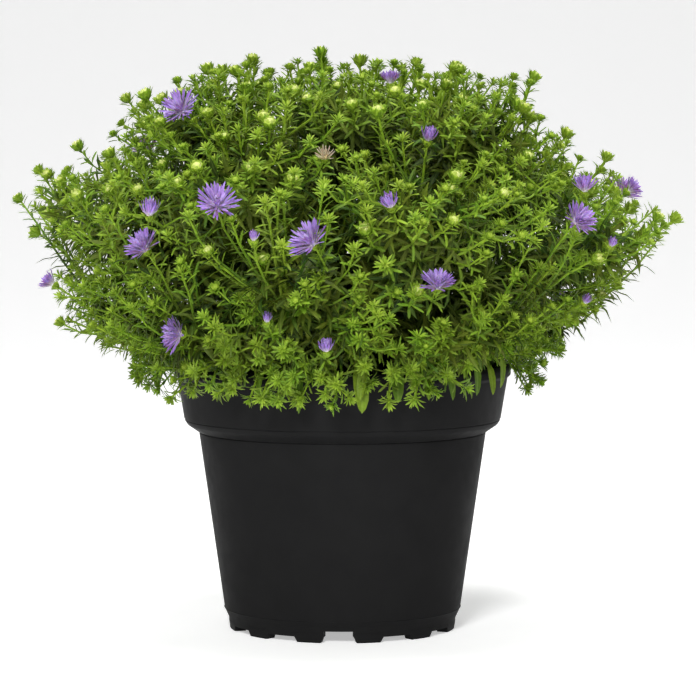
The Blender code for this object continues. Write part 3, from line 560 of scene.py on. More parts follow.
def beside_blooms(tips):
    """True for tips that crowd a bloom, or stand before one of those seen from the front."""
    crowd = np.zeros(len(tips), bool)
    for _, foot, facing, _ in bloom_plans():
        middle = foot + facing * BLOOM_MIDDLE * MM
        out = unit(facing + unit(foot - FOCUS))
        ahead = np.clip((tips - foot) @ out, 0.0, OUTWARD_VIEW)
        crowd |= np.linalg.norm(tips - foot - ahead[:, None] * out, axis=1) < BLOOM_SPACING
        if foot[1] < 0.0:
            before = (tips[:, 1] < foot[1] + FRONT_VIEW[0]) & (tips[:, 1] > foot[1] - FRONT_VIEW[1])
            crowd |= before & (np.hypot(tips[:, 0] - middle[0], tips[:, 2] - middle[2]) < BLOOM_SPACING)
    return crowd


def spread_tips():
    """Tips spread evenly round the clump, kept apart from the named ones."""
    places = np.array(OUTER_BUDS) * MM
    azimuth, elevation = dome(np.arange(TIPS), TIPS, LOWEST_TIP)
    aside, rise = TIP_STRAY
    elevation += between(-rise, rise, TIPS)
    azimuth += between(-aside, aside, TIPS)
    least, more, power = TIP_DEPTH
    far = reach(azimuth, elevation) - (least + more * CHANCE.random(TIPS) ** power) * MM
    tips = FOCUS + heading(azimuth, elevation) * far[:, None]
    gap = np.linalg.norm(tips[:, None] - places[None], axis=2).min(axis=1)
    beside_rim = (tips[:, 2] < BARE_HEIGHT) & (from_axis(tips) < BARE_RADIUS)
    left, right = BARE_AZIMUTHS
    bare = (azimuth % 360 > left) & (azimuth % 360 < right) & (elevation < BARE_RISE)
    tips = tips[(gap > TIP_SPACING) & ~beside_rim & ~bare & ~beside_blooms(tips)]
    share = (np.arange(RIM_TIPS) + between(0.2, 0.8, RIM_TIPS)) / RIM_TIPS
    azimuth = RIM_TIP_AZIMUTHS[0] + (RIM_TIP_AZIMUTHS[1] - RIM_TIP_AZIMUTHS[0]) * share
    hanging = heading(azimuth, 0.0 * azimuth) * between(*RIM_TIP_RADIUS, RIM_TIPS)[:, None]
    hanging[:, 2] = between(*RIM_TIP_HEIGHT, RIM_TIPS)
    return np.concatenate([places, tips, hanging * MM])


def inner_tips():
    """Tips of the inner twigs, spread evenly round the clump beneath the outer ones."""
    number = np.arange(INNER_TIPS)
    azimuth = np.degrees(number * GOLDEN) + between(-6.0, 6.0, INNER_TIPS)
    elevation = np.degrees(np.arcsin(0.98 - number / INNER_TIPS * 0.94))
    far = reach(azimuth, elevation) - between(*INNER_DEPTH, INNER_TIPS) * MM
    tips = FOCUS + UP * 12.0 * MM + heading(azimuth, elevation) * far[:, None]
    return np.concatenate([tips, np.array(THIN_PLACES) * MM])


def bloom_plans():
    """Kind, foot, facing and size of every bloom."""
    plans = []
    for kind, foot, facing, size in BLOOMS:
        plans.append((kind, np.array(foot) * MM, unit(np.array(facing)), size))
    for kind, azimuth, elevation in FAR_BLOOMS:
        way = heading(azimuth, elevation)
        foot = FOCUS + way * (stem_reach(elevation) - FAR_BLOOM_DEPTH)
        plans.append((kind, foot, unit(way * 0.7 + UP * 0.5), FAR_BLOOM_SIZE))
    return plans


def lay_twig(stem, tip, facing, length):
    """A twig's line from a point of its stem to its tip, lifted until it clears the rim."""
    apart = np.linalg.norm(stem.points - tip, axis=1)
    ahead = ((tip - stem.points) * stem.ways).sum(axis=1) / apart
    cost = np.abs(apart - length) + np.where(ahead < 0.2, BACKWARD_COST, 0.0)
    spot = int(np.argmin(cost[FIRST_SPOT:])) + FIRST_SPOT
    root, span = stem.points[spot], apart[spot]
    near, far = TWIG_HANDLES
    for lift in range(8):
        raise_by = UP * lift * TWIG_LIFT * MM
        first = root + stem.ways[spot] * span * near + raise_by
        line = Line(np.array([root, first, tip - facing * span * far + raise_by * 0.6, tip]))
        radius = from_axis(line.points)
        over = (radius > RIM_INNER - RIM_MARGIN) & (radius < RIM_OUTER + RIM_MARGIN)
        if not (over & (line.points[:, 2] < RIM_TOP + RIM_MARGIN)).any():
            break
    return line


def twig_leaves(line, older_and_shaded):
    """Leaves in a spiral down a twig from its tip: roots, ways, faces, sizes, bends and ages.

    The steps grow from the tip on: leaf k stands at a + b * k + c * k * k millimetres from it.
    On an inner twig each leaf is as old and as large as one that stands this much further down; the
    darker green of that age is painted shade.
    """
    a, b, c = LEAF_STEP
    steps = np.arange(MOST_LEAVES)
    to_tip = a + b * steps + c * steps**2 + between(-0.4, 0.4, MOST_LEAVES)
    to_tip = to_tip[to_tip < line.length / MM * LEAFY_SHARE]
    count = len(to_tip)
    spots, ways = line.at(line.length - to_tip * MM)
    spokes = line.spokes(ways, between(0.0, 6.0) - np.arange(count) * GOLDEN)
    rise = np.radians(np.interp(to_tip, *LEAF_RISE) + between(-14, 14, count))
    aim, faces = tilted(spokes, ways, rise)
    old = to_tip + older_and_shaded
    lengths = np.interp(old, *LEAF_LENGTH) * between(0.75, 1.25, count) * MM
    widths = between(*LEAF_WIDTH, count) * np.interp(old, *LEAF_GIRTH) * MM
    bends = np.interp(old, *LEAF_BEND) + between(-0.16, 0.16, count)
    age = np.clip(np.interp(old, *LEAF_AGE_AND_SHADE) + between(-0.08, 0.08, count), 0.2, 1)
    roots = spots + spokes * 0.4 * MM
    return roots, unit(aim + UP * 0.10), unit(faces), lengths, widths, bends, age


def add_rosette(piece, tip, facing, star, size, tone, low=0.0):
    """A star of narrow leaves: ways spread round the facing at one rise, tips curling over."""
    count, length, rise, ages = star
    spokes = spokes_round(*square_to(facing), even_angles(count, 0.2))
    ways, faces = tilted(spokes, facing, np.radians(rise + between(-16, 16, count)))
    lengths = length * size * between(0.7, 1.2, count) * MM
    roots = tip - facing * 0.8 * MM + spokes * 0.6 * MM
    widths = between(*BRACT_WIDTH, count) * MM
    tones = np.clip(tone + between(-0.25, 0.25, count), 0, 1)
    # low adds painted shade: the stars of low tips are drawn older, so darker
    bends, ages = between(-0.32, 0.0, count), between(*ages, count) + low
    add_blades(piece, BRACT_FORM, roots, ways, faces, lengths, widths, bends, ages, tones)


# Bud in shares of its width: its cup, then each row's number, height, radius, length, lean and age
CUP_HEIGHT = np.array([-0.14, 0.06, 0.32, 0.52, 0.62])
CUP_RADIUS = np.array([0.10, 0.32, 0.46, 0.42, 0.22])
CUP_AGE = np.array([0.5, 0.46, 0.40, 0.2, 0.06, 0.0])
CUP_SIDES = 7
BUD_APEX = 0.70
BUD_BRACT_WIDTH = 0.23
BUD_ROWS = [
    (8, 0.02, 0.28, 0.66, 28.0, 0.46),
    (8, 0.20, 0.40, 0.50, 10.0, 0.34),
    (7, 0.42, 0.40, 0.34, -30.0, 0.04),
]


def add_bud(piece, tip, facing, width, tone):
    """A bud: a turned cup, pale at its crown on a wide one, in three rows of pointed bracts."""
    across, beside = square_to(facing)
    spokes = spokes_round(across, beside, full_turn(CUP_SIDES))
    heights = facing * (CUP_HEIGHT * width)[:, None]
    rings = tip + heights[:, None] + spokes[None] * (CUP_RADIUS * width)[:, None, None]
    heart = SMALL_BUD_AGE if width < BUTTON_WIDTH[0] * MM else 0.0
    apex = tip + facing * BUD_APEX * width
    piece.add(rings[None], apex[None], np.maximum(CUP_AGE, heart), tone)
    for count, height, radius, long, lean, age in BUD_ROWS:
        spokes = spokes_round(across, beside, even_angles(count))
        ways, faces = tilted(spokes, facing, np.radians(90.0 - lean - between(-6, 8, count)))
        roots = tip + facing * height * width + spokes * radius * width
        lengths = long * width * between(0.85, 1.2, count)
        widths = np.full(count, BUD_BRACT_WIDTH * width)
        bends = between(-0.30, -0.02, count)
        ages = np.clip(age + between(-0.1, 0.1, count), heart, 1.0)
        tones = np.full(count, tone)
        add_blades(piece, BRACT_FORM, roots, ways, faces, lengths, widths, bends, ages, tones)


def add_core_leaves(piece, stem):
    """Mature leaves in a spiral up the stem, long ones low down and small ones towards its end."""
    places = np.arange(stem.length * 0.14, stem.length, CORE_LEAF_STEP * MM)
    count = len(places)
    spots, ways = stem.at(places)
    spokes = stem.spokes(ways, between(0.0, 6.0) + np.arange(count) * GOLDEN)
    aim, faces = tilted(spokes, ways, np.radians(30.0 + between(-24, 24, count)))
    size = np.interp(places / stem.length, *CORE_LEAF_SIZE)
    lengths = between(*CORE_LEAF, count) * size * MM
    widths = between(*CORE_LEAF_WIDTH, count) * size * MM
    bends = between(-0.3, 0.05, count)
    roots = spots + spokes * 0.8 * MM
    # Old ages near the dark end: mature leaves, darkened as painted shade inside the clump
    ages, tones = between(0.8, 1.0, count), CHANCE.random(count)
    add_blades(piece, CORE_FORM, roots, aim, faces, lengths, widths, bends, ages, tones)


def add_twig(piece, stem, tip, facing, kind, bud):
    """A twig with its leaves and, at its tip, a star with or without a bud, or a bloom's cup."""
    inner = kind == "inner"
    line = lay_twig(stem, tip, facing, between(*(INNER_LENGTH if inner else TWIG_LENGTH)) * MM)
    tone = CHANCE.random()
    # Painted shade: leaves and stars of low tips are drawn older, so darker
    low = np.interp(tip[2] / MM, *LOW_TIP_SHADE)
    to_tip = np.linspace(line.length, 0.0, TWIG_STATIONS) / MM
    # Inner twigs take old, dark ages: painted shade deep in the clump
    ages = np.interp(to_tip, *(INNER_TWIG_AGE_AND_SHADE if inner else TWIG_AGE))
    piece.add(*tube(line, TWIG_RADII, TWIG_STATIONS, 4), np.append(ages, ages[-1]), tone)
    *shape, leaf_ages = twig_leaves(line, INNER_AGE_AND_SHADE if inner else 0.0)
    tones = np.clip(tone + CHANCE.normal(0.0, 0.2, len(leaf_ages)), 0.0, 1.0)
    # The twig's leaves take the same painted shade of low tips
    leaves = (*shape, np.minimum(leaf_ages + low, 1.0), tones)
    full = 0 if inner else PLAIN_LEAVES
    add_blades(piece, LEAF_FORM, *(values[:full] for values in leaves))
    add_blades(piece, INNER_FORM, *(values[full:] for values in leaves))
    ends = line.ways[-1]
    size = between(0.85, 1.15)
    if inner:
        add_rosette(piece, tip, ends, INNER_STAR, size, tone)
    elif kind == "bloom":
        add_bud(piece, tip - ends * CALYX_DROP * MM, facing, CALYX_WIDTH * MM, tone)
    elif bud > 0.0:
        add_rosette(piece, tip, ends, BUD_STAR, size, tone, low)
        add_bud(piece, tip, ends, bud, tone)
    else:
        add_rosette(piece, tip, ends, LOWER_STAR, size, tone, low)
        above = tip + ends * UPPER_STAR_STEP * MM
        add_rosette(piece, above, ends, UPPER_STAR, size, tone, low)


def add_rim_leaf(piece, stem, azimuth, length, width, aside, slope):
    """A broad old leaf on a short twig of its own, arching outwards and down over the rim."""
    out = heading(azimuth, 0.0)
    root = (out * RIM_LEAF_RADIUS + UP * RIM_LEAF_HEIGHT + CHANCE.normal(0.0, 1.0, 3)) * MM
    way = unit(out + np.cross(UP, out) * aside - UP * slope)
    start = stem.points[np.argmin(np.linalg.norm(stem.points - root, axis=1))]
    middle = (start + root) / 2.0 + UP * RIM_TWIG_ARCH * MM
    last = root - out * RIM_TWIG_INWARDS * MM + UP * RIM_TWIG_ABOVE * MM
    line = Line(np.array([start, middle, last, root]), 20)
    piece.add(*tube(line, RIM_TWIG_RADII, 6, 5), RIM_TWIG_AGE, 0.4)
    face = unit(UP - way * way[2])
    shape = np.array([[length * MM], [width * MM], [between(-0.4, -0.25)]])
    tone = CHANCE.random(1)
    age = np.array([RIM_LEAF_AGE])
    add_blades(piece, BROAD_FORM, root[None], way[None], face[None], *shape, age, tone)


def bud_width(height):
    """Width of the bud at a tip: nothing for a star, often small, and now and then a wide button.

    Buttons are commoner higher up, where the clump gets more light.
    """
    draw = CHANCE.random()
    if draw > np.interp(height, BUD_HEIGHTS, BUD_SHARE):
        return 0.0
    wide = draw < np.interp(height, BUD_HEIGHTS, BUTTON_SHARE)
    return between(*(BUTTON_WIDTH if wide else SMALL_BUD_WIDTH)) * MM


def add_foliage(material):
    """One piece for each stem: its tube, its long leaves and every twig nearest to it."""
    stems = [Line(stem_controls(number), 60) for number in range(STEMS)]
    aims = unit(np.array([stem.points[-1] - FOCUS for stem in stems]))
    rim_nodes = [np.argmax(aims @ heading(leaf[0], 0.0)) for leaf in RIM_LEAVES]
    ends = []
    for number, tip in enumerate(spread_tips()):
        lift = np.interp(tip[2] / MM, *HANGING)
        facing = unit(unit(tip - FOCUS) * 0.8 + UP * lift + CHANCE.normal(0, 0.16, 3))
        if tip[2] < RIM_TOP + 8.0 * MM:
            facing = unit(facing + np.cross(UP, facing) * between(-RIM_TIP_TURN, RIM_TIP_TURN))
        bud = bud_width(tip[2] / MM)
        if number < len(OUTER_BUDS):
            bud = between(*OUTER_BUD_WIDTH) * MM if tip[2] > STEM_LOW * MM else 0.0
        ends.append((tip, facing, "outer", bud))
    ends += [(foot, facing, "bloom", 0.0) for _, foot, facing, _ in bloom_plans()]
    ends += [(tip, unit(tip - FOCUS), "inner", 0.0) for tip in inner_tips()]
    nearest = [np.argmax(aims @ unit(end[0] - FOCUS)) for end in ends]
    for number, stem in enumerate(stems):
        piece = Piece()
        rings, apex = tube(stem, STEM_RADII, 16, 8)
        rings[:, 0] -= UP * STEM_SINK * MM
        piece.add(rings, apex, 0.85, 0.3)
        add_core_leaves(piece, stem)
        for end, node in zip(ends, nearest):
            if node == number:
                add_twig(piece, stem, *end)
        for leaf, node in zip(RIM_LEAVES, rim_nodes):
            if node == number:
                add_rim_leaf(piece, stem, *leaf)
        label = f"{number + 1:02d}"
        piece.finish("foliage_" + label, material, "leaf_green", ["stem_" + label])


def add_bloom(piece, kind, foot, facing, size):
    """Rays in layers round a short neck; each layer leans further in and is shorter and paler."""
    length, width, curl, layers = BLOOM_KINDS[kind]
    length = length * size
    across, beside = square_to(facing)
    small = min(1.0, length / NECK_RAYS) * MM
    spokes = spokes_round(across, beside, full_turn(NECK_SIDES))
    heights, radii = NECK_HEIGHTS * small, NECK_RADII * small
    rings = foot + facing * heights[:, None, None] + spokes[None] * radii[:, None, None]
    piece.add(rings[None], (foot + facing * NECK_APEX * small)[None], 0.0, 0.5)
    low, step, circle = RAY_ROOTS
    for level, (count, share, rise) in enumerate(layers):
        spokes = spokes_round(across, beside, even_angles(count, 0.1))
        ways, faces = tilted(spokes, facing, np.radians(rise + between(-9, 9, count)))
        faces = unit(faces + np.cross(ways, faces) * CHANCE.normal(0, 0.25, count)[:, None])
        inset = 1.0 - level / len(layers)
        roots = foot + facing * (low + step * level) * small + spokes * circle * inset * small
        lengths = between(0.86, 1.1, count) * length * share * MM
        widths = between(0.8, 1.15, count) * width * MM
        bends = curl + between(-0.16, 0.14, count)
        ages = np.clip(inset + between(-0.16, 0.16, count), 0.0, 1.0)
        rings, apexes = blades(roots, ways, faces, lengths, widths, bends, RAY_FORM)
        piece.add(rings, apexes, ages, CHANCE.random(count), RAY_FORM[0], RAY_FORM[4])


def add_blooms(violet, withered):
    """One piece for each bloom; the withered one has a material of its own."""
    for number, (kind, foot, facing, size) in enumerate(bloom_plans()):
        piece = Piece()
        add_bloom(piece, kind, foot, facing, size)
        label = f"{number + 1:02d}"
        dry = kind == "withered"
        finish, slot = (withered, "ray_withered") if dry else (violet, "ray_violet")
        piece.finish("rays_" + label, finish, slot, ["bloom_" + label], 60.0)


def rounded(profile, fillet, steps=3):
    """Each inner corner becomes a curve a(1-t)^2 + 2c t(1-t) + b t^2 between points beside it."""
    points = [np.array(profile[0], float)]
    for before, corner, after in zip(profile, profile[1:], profile[2:]):
        before, corner, after = (np.array(p, float) for p in (before, corner, after))
        into, out = before - corner, after - corner
        size = min(fillet, 0.42 * np.linalg.norm(into), 0.42 * np.linalg.norm(out))
        a, b = corner + into / np.linalg.norm(into) * size, corner + out / np.linalg.norm(out) * size
        for t in np.linspace(0.0, 1.0, steps):
            points.append(a * (1 - t) ** 2 + corner * 2 * t * (1 - t) + b * t * t)
    return np.array(points + [np.array(profile[-1], float)])


def round_axis(radius, angles, height):
    """Points at these radii, angles and heights in millimetres."""
    flat = [radius * np.cos(angles), radius * np.sin(angles), height + 0.0 * angles]
    return np.stack(flat, axis=-1) * MM


def turned(section, sides):
    """Rings of a solid of revolution from (radius, height) points in millimetres."""
    return round_axis(section[:, 0, None], full_turn(sides), section[:, 1, None])[None]


def add_sector(piece, middle, half, corners, stations):
    """A closed part of a ring: its section is carried along the arc from end to end.

    Each corner of the section has a radius, a height and its share of the half angle.
    """
    swing = np.linspace(-1.0, 1.0, stations)[:, None]
    radius, height, share = np.array(corners).T
    rings = round_axis(radius, middle + swing * half * share, height)
    piece.add(rings[None], rings[-1:].mean(axis=1))


def add_feet(piece):
    """The wall comes further down but for every third notch, and twelve feet stand out of it."""
    pitch = math.tau / FEET
    (low_radius, low_height), (high_radius, high_height) = POT_OUTSIDE[:2]
    skin = low_radius + 0.03
    raised = skin + 3.0 * (high_radius - low_radius) / (high_height - low_height)
    first = math.radians(NOTCH_AZIMUTH - 90.0)
    band = [
        (FOOT_INNER, low_height + 3.0, 1.0),
        (raised, low_height + 3.0, 1.0),
        (skin, low_height, 1.0),
        (skin - FOOT_LEAN, SHALLOW_NOTCH, 1.0),
        (FOOT_INNER, SHALLOW_NOTCH, 1.0),
    ]
    foot = [
        (FOOT_INNER, SHALLOW_NOTCH + 2.0, 1.0),
        (skin, SHALLOW_NOTCH + 2.0, 1.0),
        (skin - FOOT_LEAN, SHALLOW_NOTCH, 1.0),
        (skin - 2.0 * FOOT_LEAN, 0.4, FOOT_TAPER),
        (skin - 2.0 * FOOT_LEAN - 0.3, 0.0, FOOT_TAPER - 0.02),
        (FOOT_INNER + FOOT_LEAN, 0.0, FOOT_TAPER - 0.02),
    ]
    for number in range(FEET // DEEP_EVERY):
        middle = first + pitch * (number + 0.5) * DEEP_EVERY
        add_sector(piece, middle, pitch * (DEEP_EVERY - 0.5) / 2.0, band, 40)
    for number in range(FEET):
        add_sector(piece, first + pitch * (number + 0.5), pitch / 4.0, foot, 9)


def drain_guide():
    """Seven round plugs through the floor, one in the middle and six round it."""
    piece = Piece()
    section = np.array([(DRAIN_RADIUS, DRAIN_FROM), (DRAIN_RADIUS, DRAIN_TO)])
    for centre in [np.zeros(3), *round_axis(DRAIN_CIRCLE, full_turn(DRAIN_HOLES), 0.0)]:
        piece.add(turned(section, 32) + centre, (centre + UP * DRAIN_TO * MM)[None])
    return piece


def detailed_outside():
    """The outside of the pot with a bead over the chamfer and a groove at both ends of the ledge."""
    base, chamfer, ledge, slope, collar, top = POT_OUTSIDE
    bead = (chamfer[0] + BEAD_STEP, chamfer[1] + BEAD_HEIGHT)
    wall = (chamfer[0] + BEAD_STEP * 0.25, chamfer[1] + BEAD_HEIGHT * 1.9)
    low_groove = [
        (ledge[0] - 0.1, ledge[1] - GROOVE_WIDTH),
        (ledge[0] - GROOVE_DEPTH, ledge[1]),
        (ledge[0] + GROOVE_WIDTH, ledge[1] + GROOVE_WIDTH * 0.6),
    ]
    high_groove = [
        (collar[0] - 0.2, collar[1] - GROOVE_WIDTH),
        (collar[0] - GROOVE_DEPTH, collar[1] + 0.1),
        (collar[0] + 0.1, collar[1] + GROOVE_WIDTH),
    ]
    return [base, chamfer, bead, wall] + low_groove + [slope] + high_groove + [top]


def add_pot(material):
    """The turned shell with the drain holes taken out of its floor, joined with its feet."""
    section = [(6.0, POT_OUTSIDE[0][1])] + detailed_outside() + POT_LIP + POT_INSIDE
    piece = Piece()
    top = (UP * POT_INSIDE[-1][1] * MM)[None]
    piece.add(turned(rounded(section, POT_FILLET), POT_SIDES), top)
    shell = piece.finish("pot_shell", material, "pot_plastic", ["pot"], 32.0)
    guide = drain_guide().finish("drain_guide", material, "pot_plastic", [])
    feet = Piece()
    add_feet(feet)
    block = feet.finish("feet_guide", material, "pot_plastic", [])
    boolean = shell.modifiers.new("drains", "BOOLEAN")
    boolean.operation = "DIFFERENCE"
    boolean.solver = "EXACT"
    boolean.object = guide
    bpy.context.view_layer.update()
    graph = bpy.context.evaluated_depsgraph_get()
    drained = bpy.data.meshes.new_from_object(shell.evaluated_get(graph))
    shell.modifiers.clear()
    whole = bmesh.new()
    whole.from_mesh(drained)
    whole.from_mesh(block.data)
    whole.to_mesh(drained)
    whole.free()
    shell.data = drained
    for spent in (guide, block):
        bpy.data.objects.remove(spent, do_unlink=True)


def add_soil(material):
    """The filled pot: a turned body whose top follows soil_height with finer grain, and crumbs."""
    edge_radius, edge_height = SOIL_SECTION[-1]
    radii = np.linspace(edge_radius - 2.0, 1.5, SOIL_RINGS)
    body = turned(np.array(SOIL_SECTION), SOIL_SIDES)
    top = turned(np.stack([radii, np.full(SOIL_RINGS, edge_height)], axis=1), SOIL_SIDES)
    x, y = top[..., 0] / MM, top[..., 1] / MM
    grain = np.sin(x * 1.7 + y * 0.6) * np.sin(y * 1.9 - x * 0.4) + CHANCE.normal(0, 0.6, x.shape)
    top[..., 2] = (soil_height(x, y) + grain * 0.35 - 0.3) * MM
    piece = Piece()
    apex = (UP * soil_height(0.0, 0.0) * MM)[None]
    piece.add(np.concatenate([body, top], axis=1), apex, 0.0, 0.3)
    add_crumbs(piece)
    add_strands(piece)
    piece.finish("soil_mix", material, "soil_mix", ["soil"], 50.0)


def add_strands(piece):
    """Dry root strands: thin curves that rise from the soil towards the lip; half lie anywhere."""
    for number in range(STRANDS):
        azimuths, radii, heights = LOOSE_STRAND if number % 2 else LIP_STRAND
        out = heading(between(*azimuths), 0.0)
        start = out * between(*radii)
        start[2] = soil_height(start[0], start[1]) - 0.5
        along = np.cross(UP, out) * CHANCE.choice([-1.0, 1.0])
        top = between(*heights)
        span = between(*STRAND_SPAN)
        inwards = out * between(-5.0, 0.0)
        controls = [
            start,
            start + UP * top + along * span * 0.2,
            start + UP * top * between(0.8, 1.2) + along * span * 0.7 + inwards,
            start + UP * top * between(0.1, 0.9) + along * span + inwards * 1.5,
        ]
        thick = between(*STRAND_GIRTH) * MM
        strand = tube(Line(np.array(controls) * MM, 16), (thick, thick * 0.6), 9, 4)
        piece.add(*strand, 1.0, between(0.6, 1.0))


def add_crumbs(piece):
    """Lumps of peat and bark strewn on the soil: squashed six-sided spindles of random size."""
    radius = np.sqrt(CHANCE.random(CRUMBS)) * (SOIL_RADIUS - 4.0)
    angle = CHANCE.random(CRUMBS) * math.tau
    x, y = radius * np.cos(angle), radius * np.sin(angle)
    least, more = CRUMB_SIZE
    size = least + more * CHANCE.random(CRUMBS) ** 3
    centre = np.stack([x, y, soil_height(x, y) + size * 0.25], axis=1)
    ways = unit(CHANCE.normal(0, 1, (CRUMBS, 3)) * [1.0, 1.0, 0.35])
    across = unit(np.cross(ways, unit(CHANCE.normal(0, 1, (CRUMBS, 3)))))
    beside = np.cross(ways, across)
    spokes = spokes_round(across[:, None], beside[:, None], full_turn(6))
    rings = []
    for along, wide in CRUMB_RINGS:
        girth = size[:, None, None] * wide * between(0.7, 1.25, (CRUMBS, 6, 1)) * 0.6
        rings.append(centre[:, None] + ways[:, None] * (size * along)[:, None, None] + spokes * girth)
    apexes = centre + ways * size[:, None]
    piece.add(np.stack(rings, axis=1) * MM, apexes * MM, np.ones(CRUMBS), CHANCE.random(CRUMBS))


class Shading:
    """A material's or a group's node tree, with short calls to add and join nodes."""

    def __init__(self, tree):
        self.tree = tree

    def put(self, node, inputs):
        """Join other nodes' outputs to a node's inputs, or set numbers and colours on them."""
        for name, value in inputs.items():
            socket = node.inputs[name]
            if isinstance(value, bpy.types.NodeSocket):
                self.tree.links.new(value, socket)
            else:
                socket.default_value = (*value, 1.0) if socket.type == "RGBA" else value
        return node

    def node(self, kind, inputs, **settings):
        """A new node with these settings and inputs."""
        made = self.tree.nodes.new(kind)
        for name, value in settings.items():
            setattr(made, name, value)
        return self.put(made, inputs)

    def maths(self, operation, first, second=0.0):
        return self.node("ShaderNodeMath", {0: first, 1: second}, operation=operation).outputs[0]

    def ramp(self, value, stops):
        """The colour that a value reaches along stops, each a place and a colour."""
        made = self.node("ShaderNodeValToRGB", {"Fac": value})
        band = made.color_ramp
        while len(band.elements) < len(stops):
            band.elements.new(0.5)
        for element, (place, colour) in zip(band.elements, stops):
            element.position = place
            element.color = (*colour, 1.0)
        return made.outputs["Color"]

    def blend(self, share, first, second):
        """The first colour, with this share of the second."""
        inputs = {"Factor": share, "A": first, "B": second}
        return self.node("ShaderNodeMix", inputs, data_type="RGBA").outputs["Result"]

    def brighten(self, colour, value):
        inputs = {"Color": colour, "Value": value}
        return self.node("ShaderNodeHueSaturation", inputs).outputs["Color"]

    def spread(self, value, low, high, new_low, new_high):
        """A value moved from one span onto another, and held inside it."""
        ends = {"From Min": low, "From Max": high, "To Min": new_low, "To Max": new_high}
        return self.node("ShaderNodeMapRange", {"Value": value, **ends}).outputs["Result"]

    def attribute(self, name):
        return self.node("ShaderNodeAttribute", {}, attribute_name=name).outputs["Fac"]

    def noise(self, scale, detail):
        """Noise on the object's own coordinates."""
        place = self.node("ShaderNodeTexCoord", {}).outputs["Object"]
        inputs = {"Vector": place, "Scale": scale, "Detail": detail}
        return self.node("ShaderNodeTexNoise", inputs).outputs["Fac"]

    def blade_map(self):
        """The two coordinates of a blade's own map, along it and across it."""
        spread = self.node("ShaderNodeUVMap", {}, uv_map="spread").outputs["UV"]
        parts = self.node("ShaderNodeSeparateXYZ", {"Vector": spread})
        return parts.outputs["X"], parts.outputs["Y"]

    def use(self, group, **inputs):
        """The outputs of a node group that has these inputs."""
        return self.node("ShaderNodeGroup", inputs, node_tree=group).outputs

    def finish(self, shader, colour, rough, height, strength, distance):
        """Join colour, roughness and a bump from this height to the material's shader."""
        bump = {"Strength": strength, "Distance": distance, "Height": height}
        normal = self.node("ShaderNodeBump", bump).outputs["Normal"]
        self.put(shader, {"Base Color": colour, "Roughness": rough, "Normal": normal})


def make_group(name, inputs, outputs):
    """A node group with named inputs and outputs: itself, its shading and its two end nodes."""
    group = bpy.data.node_groups.new(name, "ShaderNodeTree")
    for label, default in inputs:
        socket = group.interface.new_socket(label, in_out="INPUT", socket_type="NodeSocketFloat")
        socket.default_value = default
    for label in outputs:
        group.interface.new_socket(label, in_out="OUTPUT", socket_type="NodeSocketFloat")
    shading = Shading(group)
    return group, shading, shading.node("NodeGroupInput", {}), shading.node("NodeGroupOutput", {})


def mottle_group():
    """Mottle: two sizes of noise on the object's own coordinates, spread between Low and High."""
    inputs = [("Scale", 100.0), ("Low", 0.0), ("High", 1.0)]
    group, shading, given, out = make_group("mottle", inputs, ["Mask"])
    scale = given.outputs["Scale"]
    fine = shading.noise(shading.maths("MULTIPLY", scale, 4.7), 4.0)
    both = shading.maths("ADD", shading.noise(scale, 4.0), fine)
    mask = shading.spread(both, 0.7, 1.3, given.outputs["Low"], given.outputs["High"])
    shading.put(out, {"Mask": mask})
    return group


def rib_group():
    """Ribs: a line down the middle of a blade and fine lines beside it, from its own map."""
    inputs = [("Width", 0.1), ("Lines", 5.0)]
    group, shading, given, out = make_group("ribs", inputs, ["Rib", "Lines"])
    aside = shading.blade_map()[1]
    off = shading.maths("ABSOLUTE", shading.maths("SUBTRACT", aside, 0.5))
    rib = shading.maths("SUBTRACT", 1.0, shading.maths("DIVIDE", off, given.outputs["Width"]))
    turns = shading.maths("MULTIPLY", given.outputs["Lines"], math.tau)
    wave = shading.maths("SINE", shading.maths("MULTIPLY", aside, turns))
    lines = shading.maths("ABSOLUTE", wave)
    shading.put(out, {"Rib": shading.maths("MAXIMUM", rib, 0.0), "Lines": lines})
    return group


def start_material(name, constants):
    """A material, its shading and its shader, on which these constants are set."""
    material = bpy.data.materials.new(name)
    material.use_nodes = True
    shading = Shading(material.node_tree)
    shader = shading.put(material.node_tree.nodes["Principled BSDF"], constants)
    return material, shading, shader


# Leaves and rays let some light through; leaves go from pale buds to old and dark by age, and the
# near-black end of that is also painted shade deep in the clump
SUNNY_GREEN = (0.30, 0.36, 0.03)
RIB_GREEN = (0.34, 0.47, 0.09)
LEAF_SKIN = {
    "Subsurface Weight": 0.08,
    "Subsurface Scale": 0.001,
    "Subsurface Radius": (0.5, 1.0, 0.15),
    "Specular IOR Level": 0.14,
}
RAY_SKIN = {"Subsurface Weight": 0.15, "Subsurface Scale": 0.001, "Specular IOR Level": 0.25}
AGE_AND_SHADE_GREENS = [
    (0.0, (0.66, 0.71, 0.27)),
    (0.10, (0.36, 0.46, 0.065)),
    (0.26, (0.225, 0.36, 0.022)),
    (0.5, (0.102, 0.208, 0.010)),
    (0.75, (0.034, 0.080, 0.006)),
    (1.0, (0.010, 0.026, 0.003)),
]
SOIL_STOPS = [(0.0, (0.014, 0.009, 0.006)), (0.6, (0.040, 0.024, 0.014)), (1.0, (0.11, 0.065, 0.035))]
BLACK_PLASTIC = (0.0105, 0.0105, 0.0107)
DUSTY_PLASTIC = (0.016, 0.016, 0.0162)


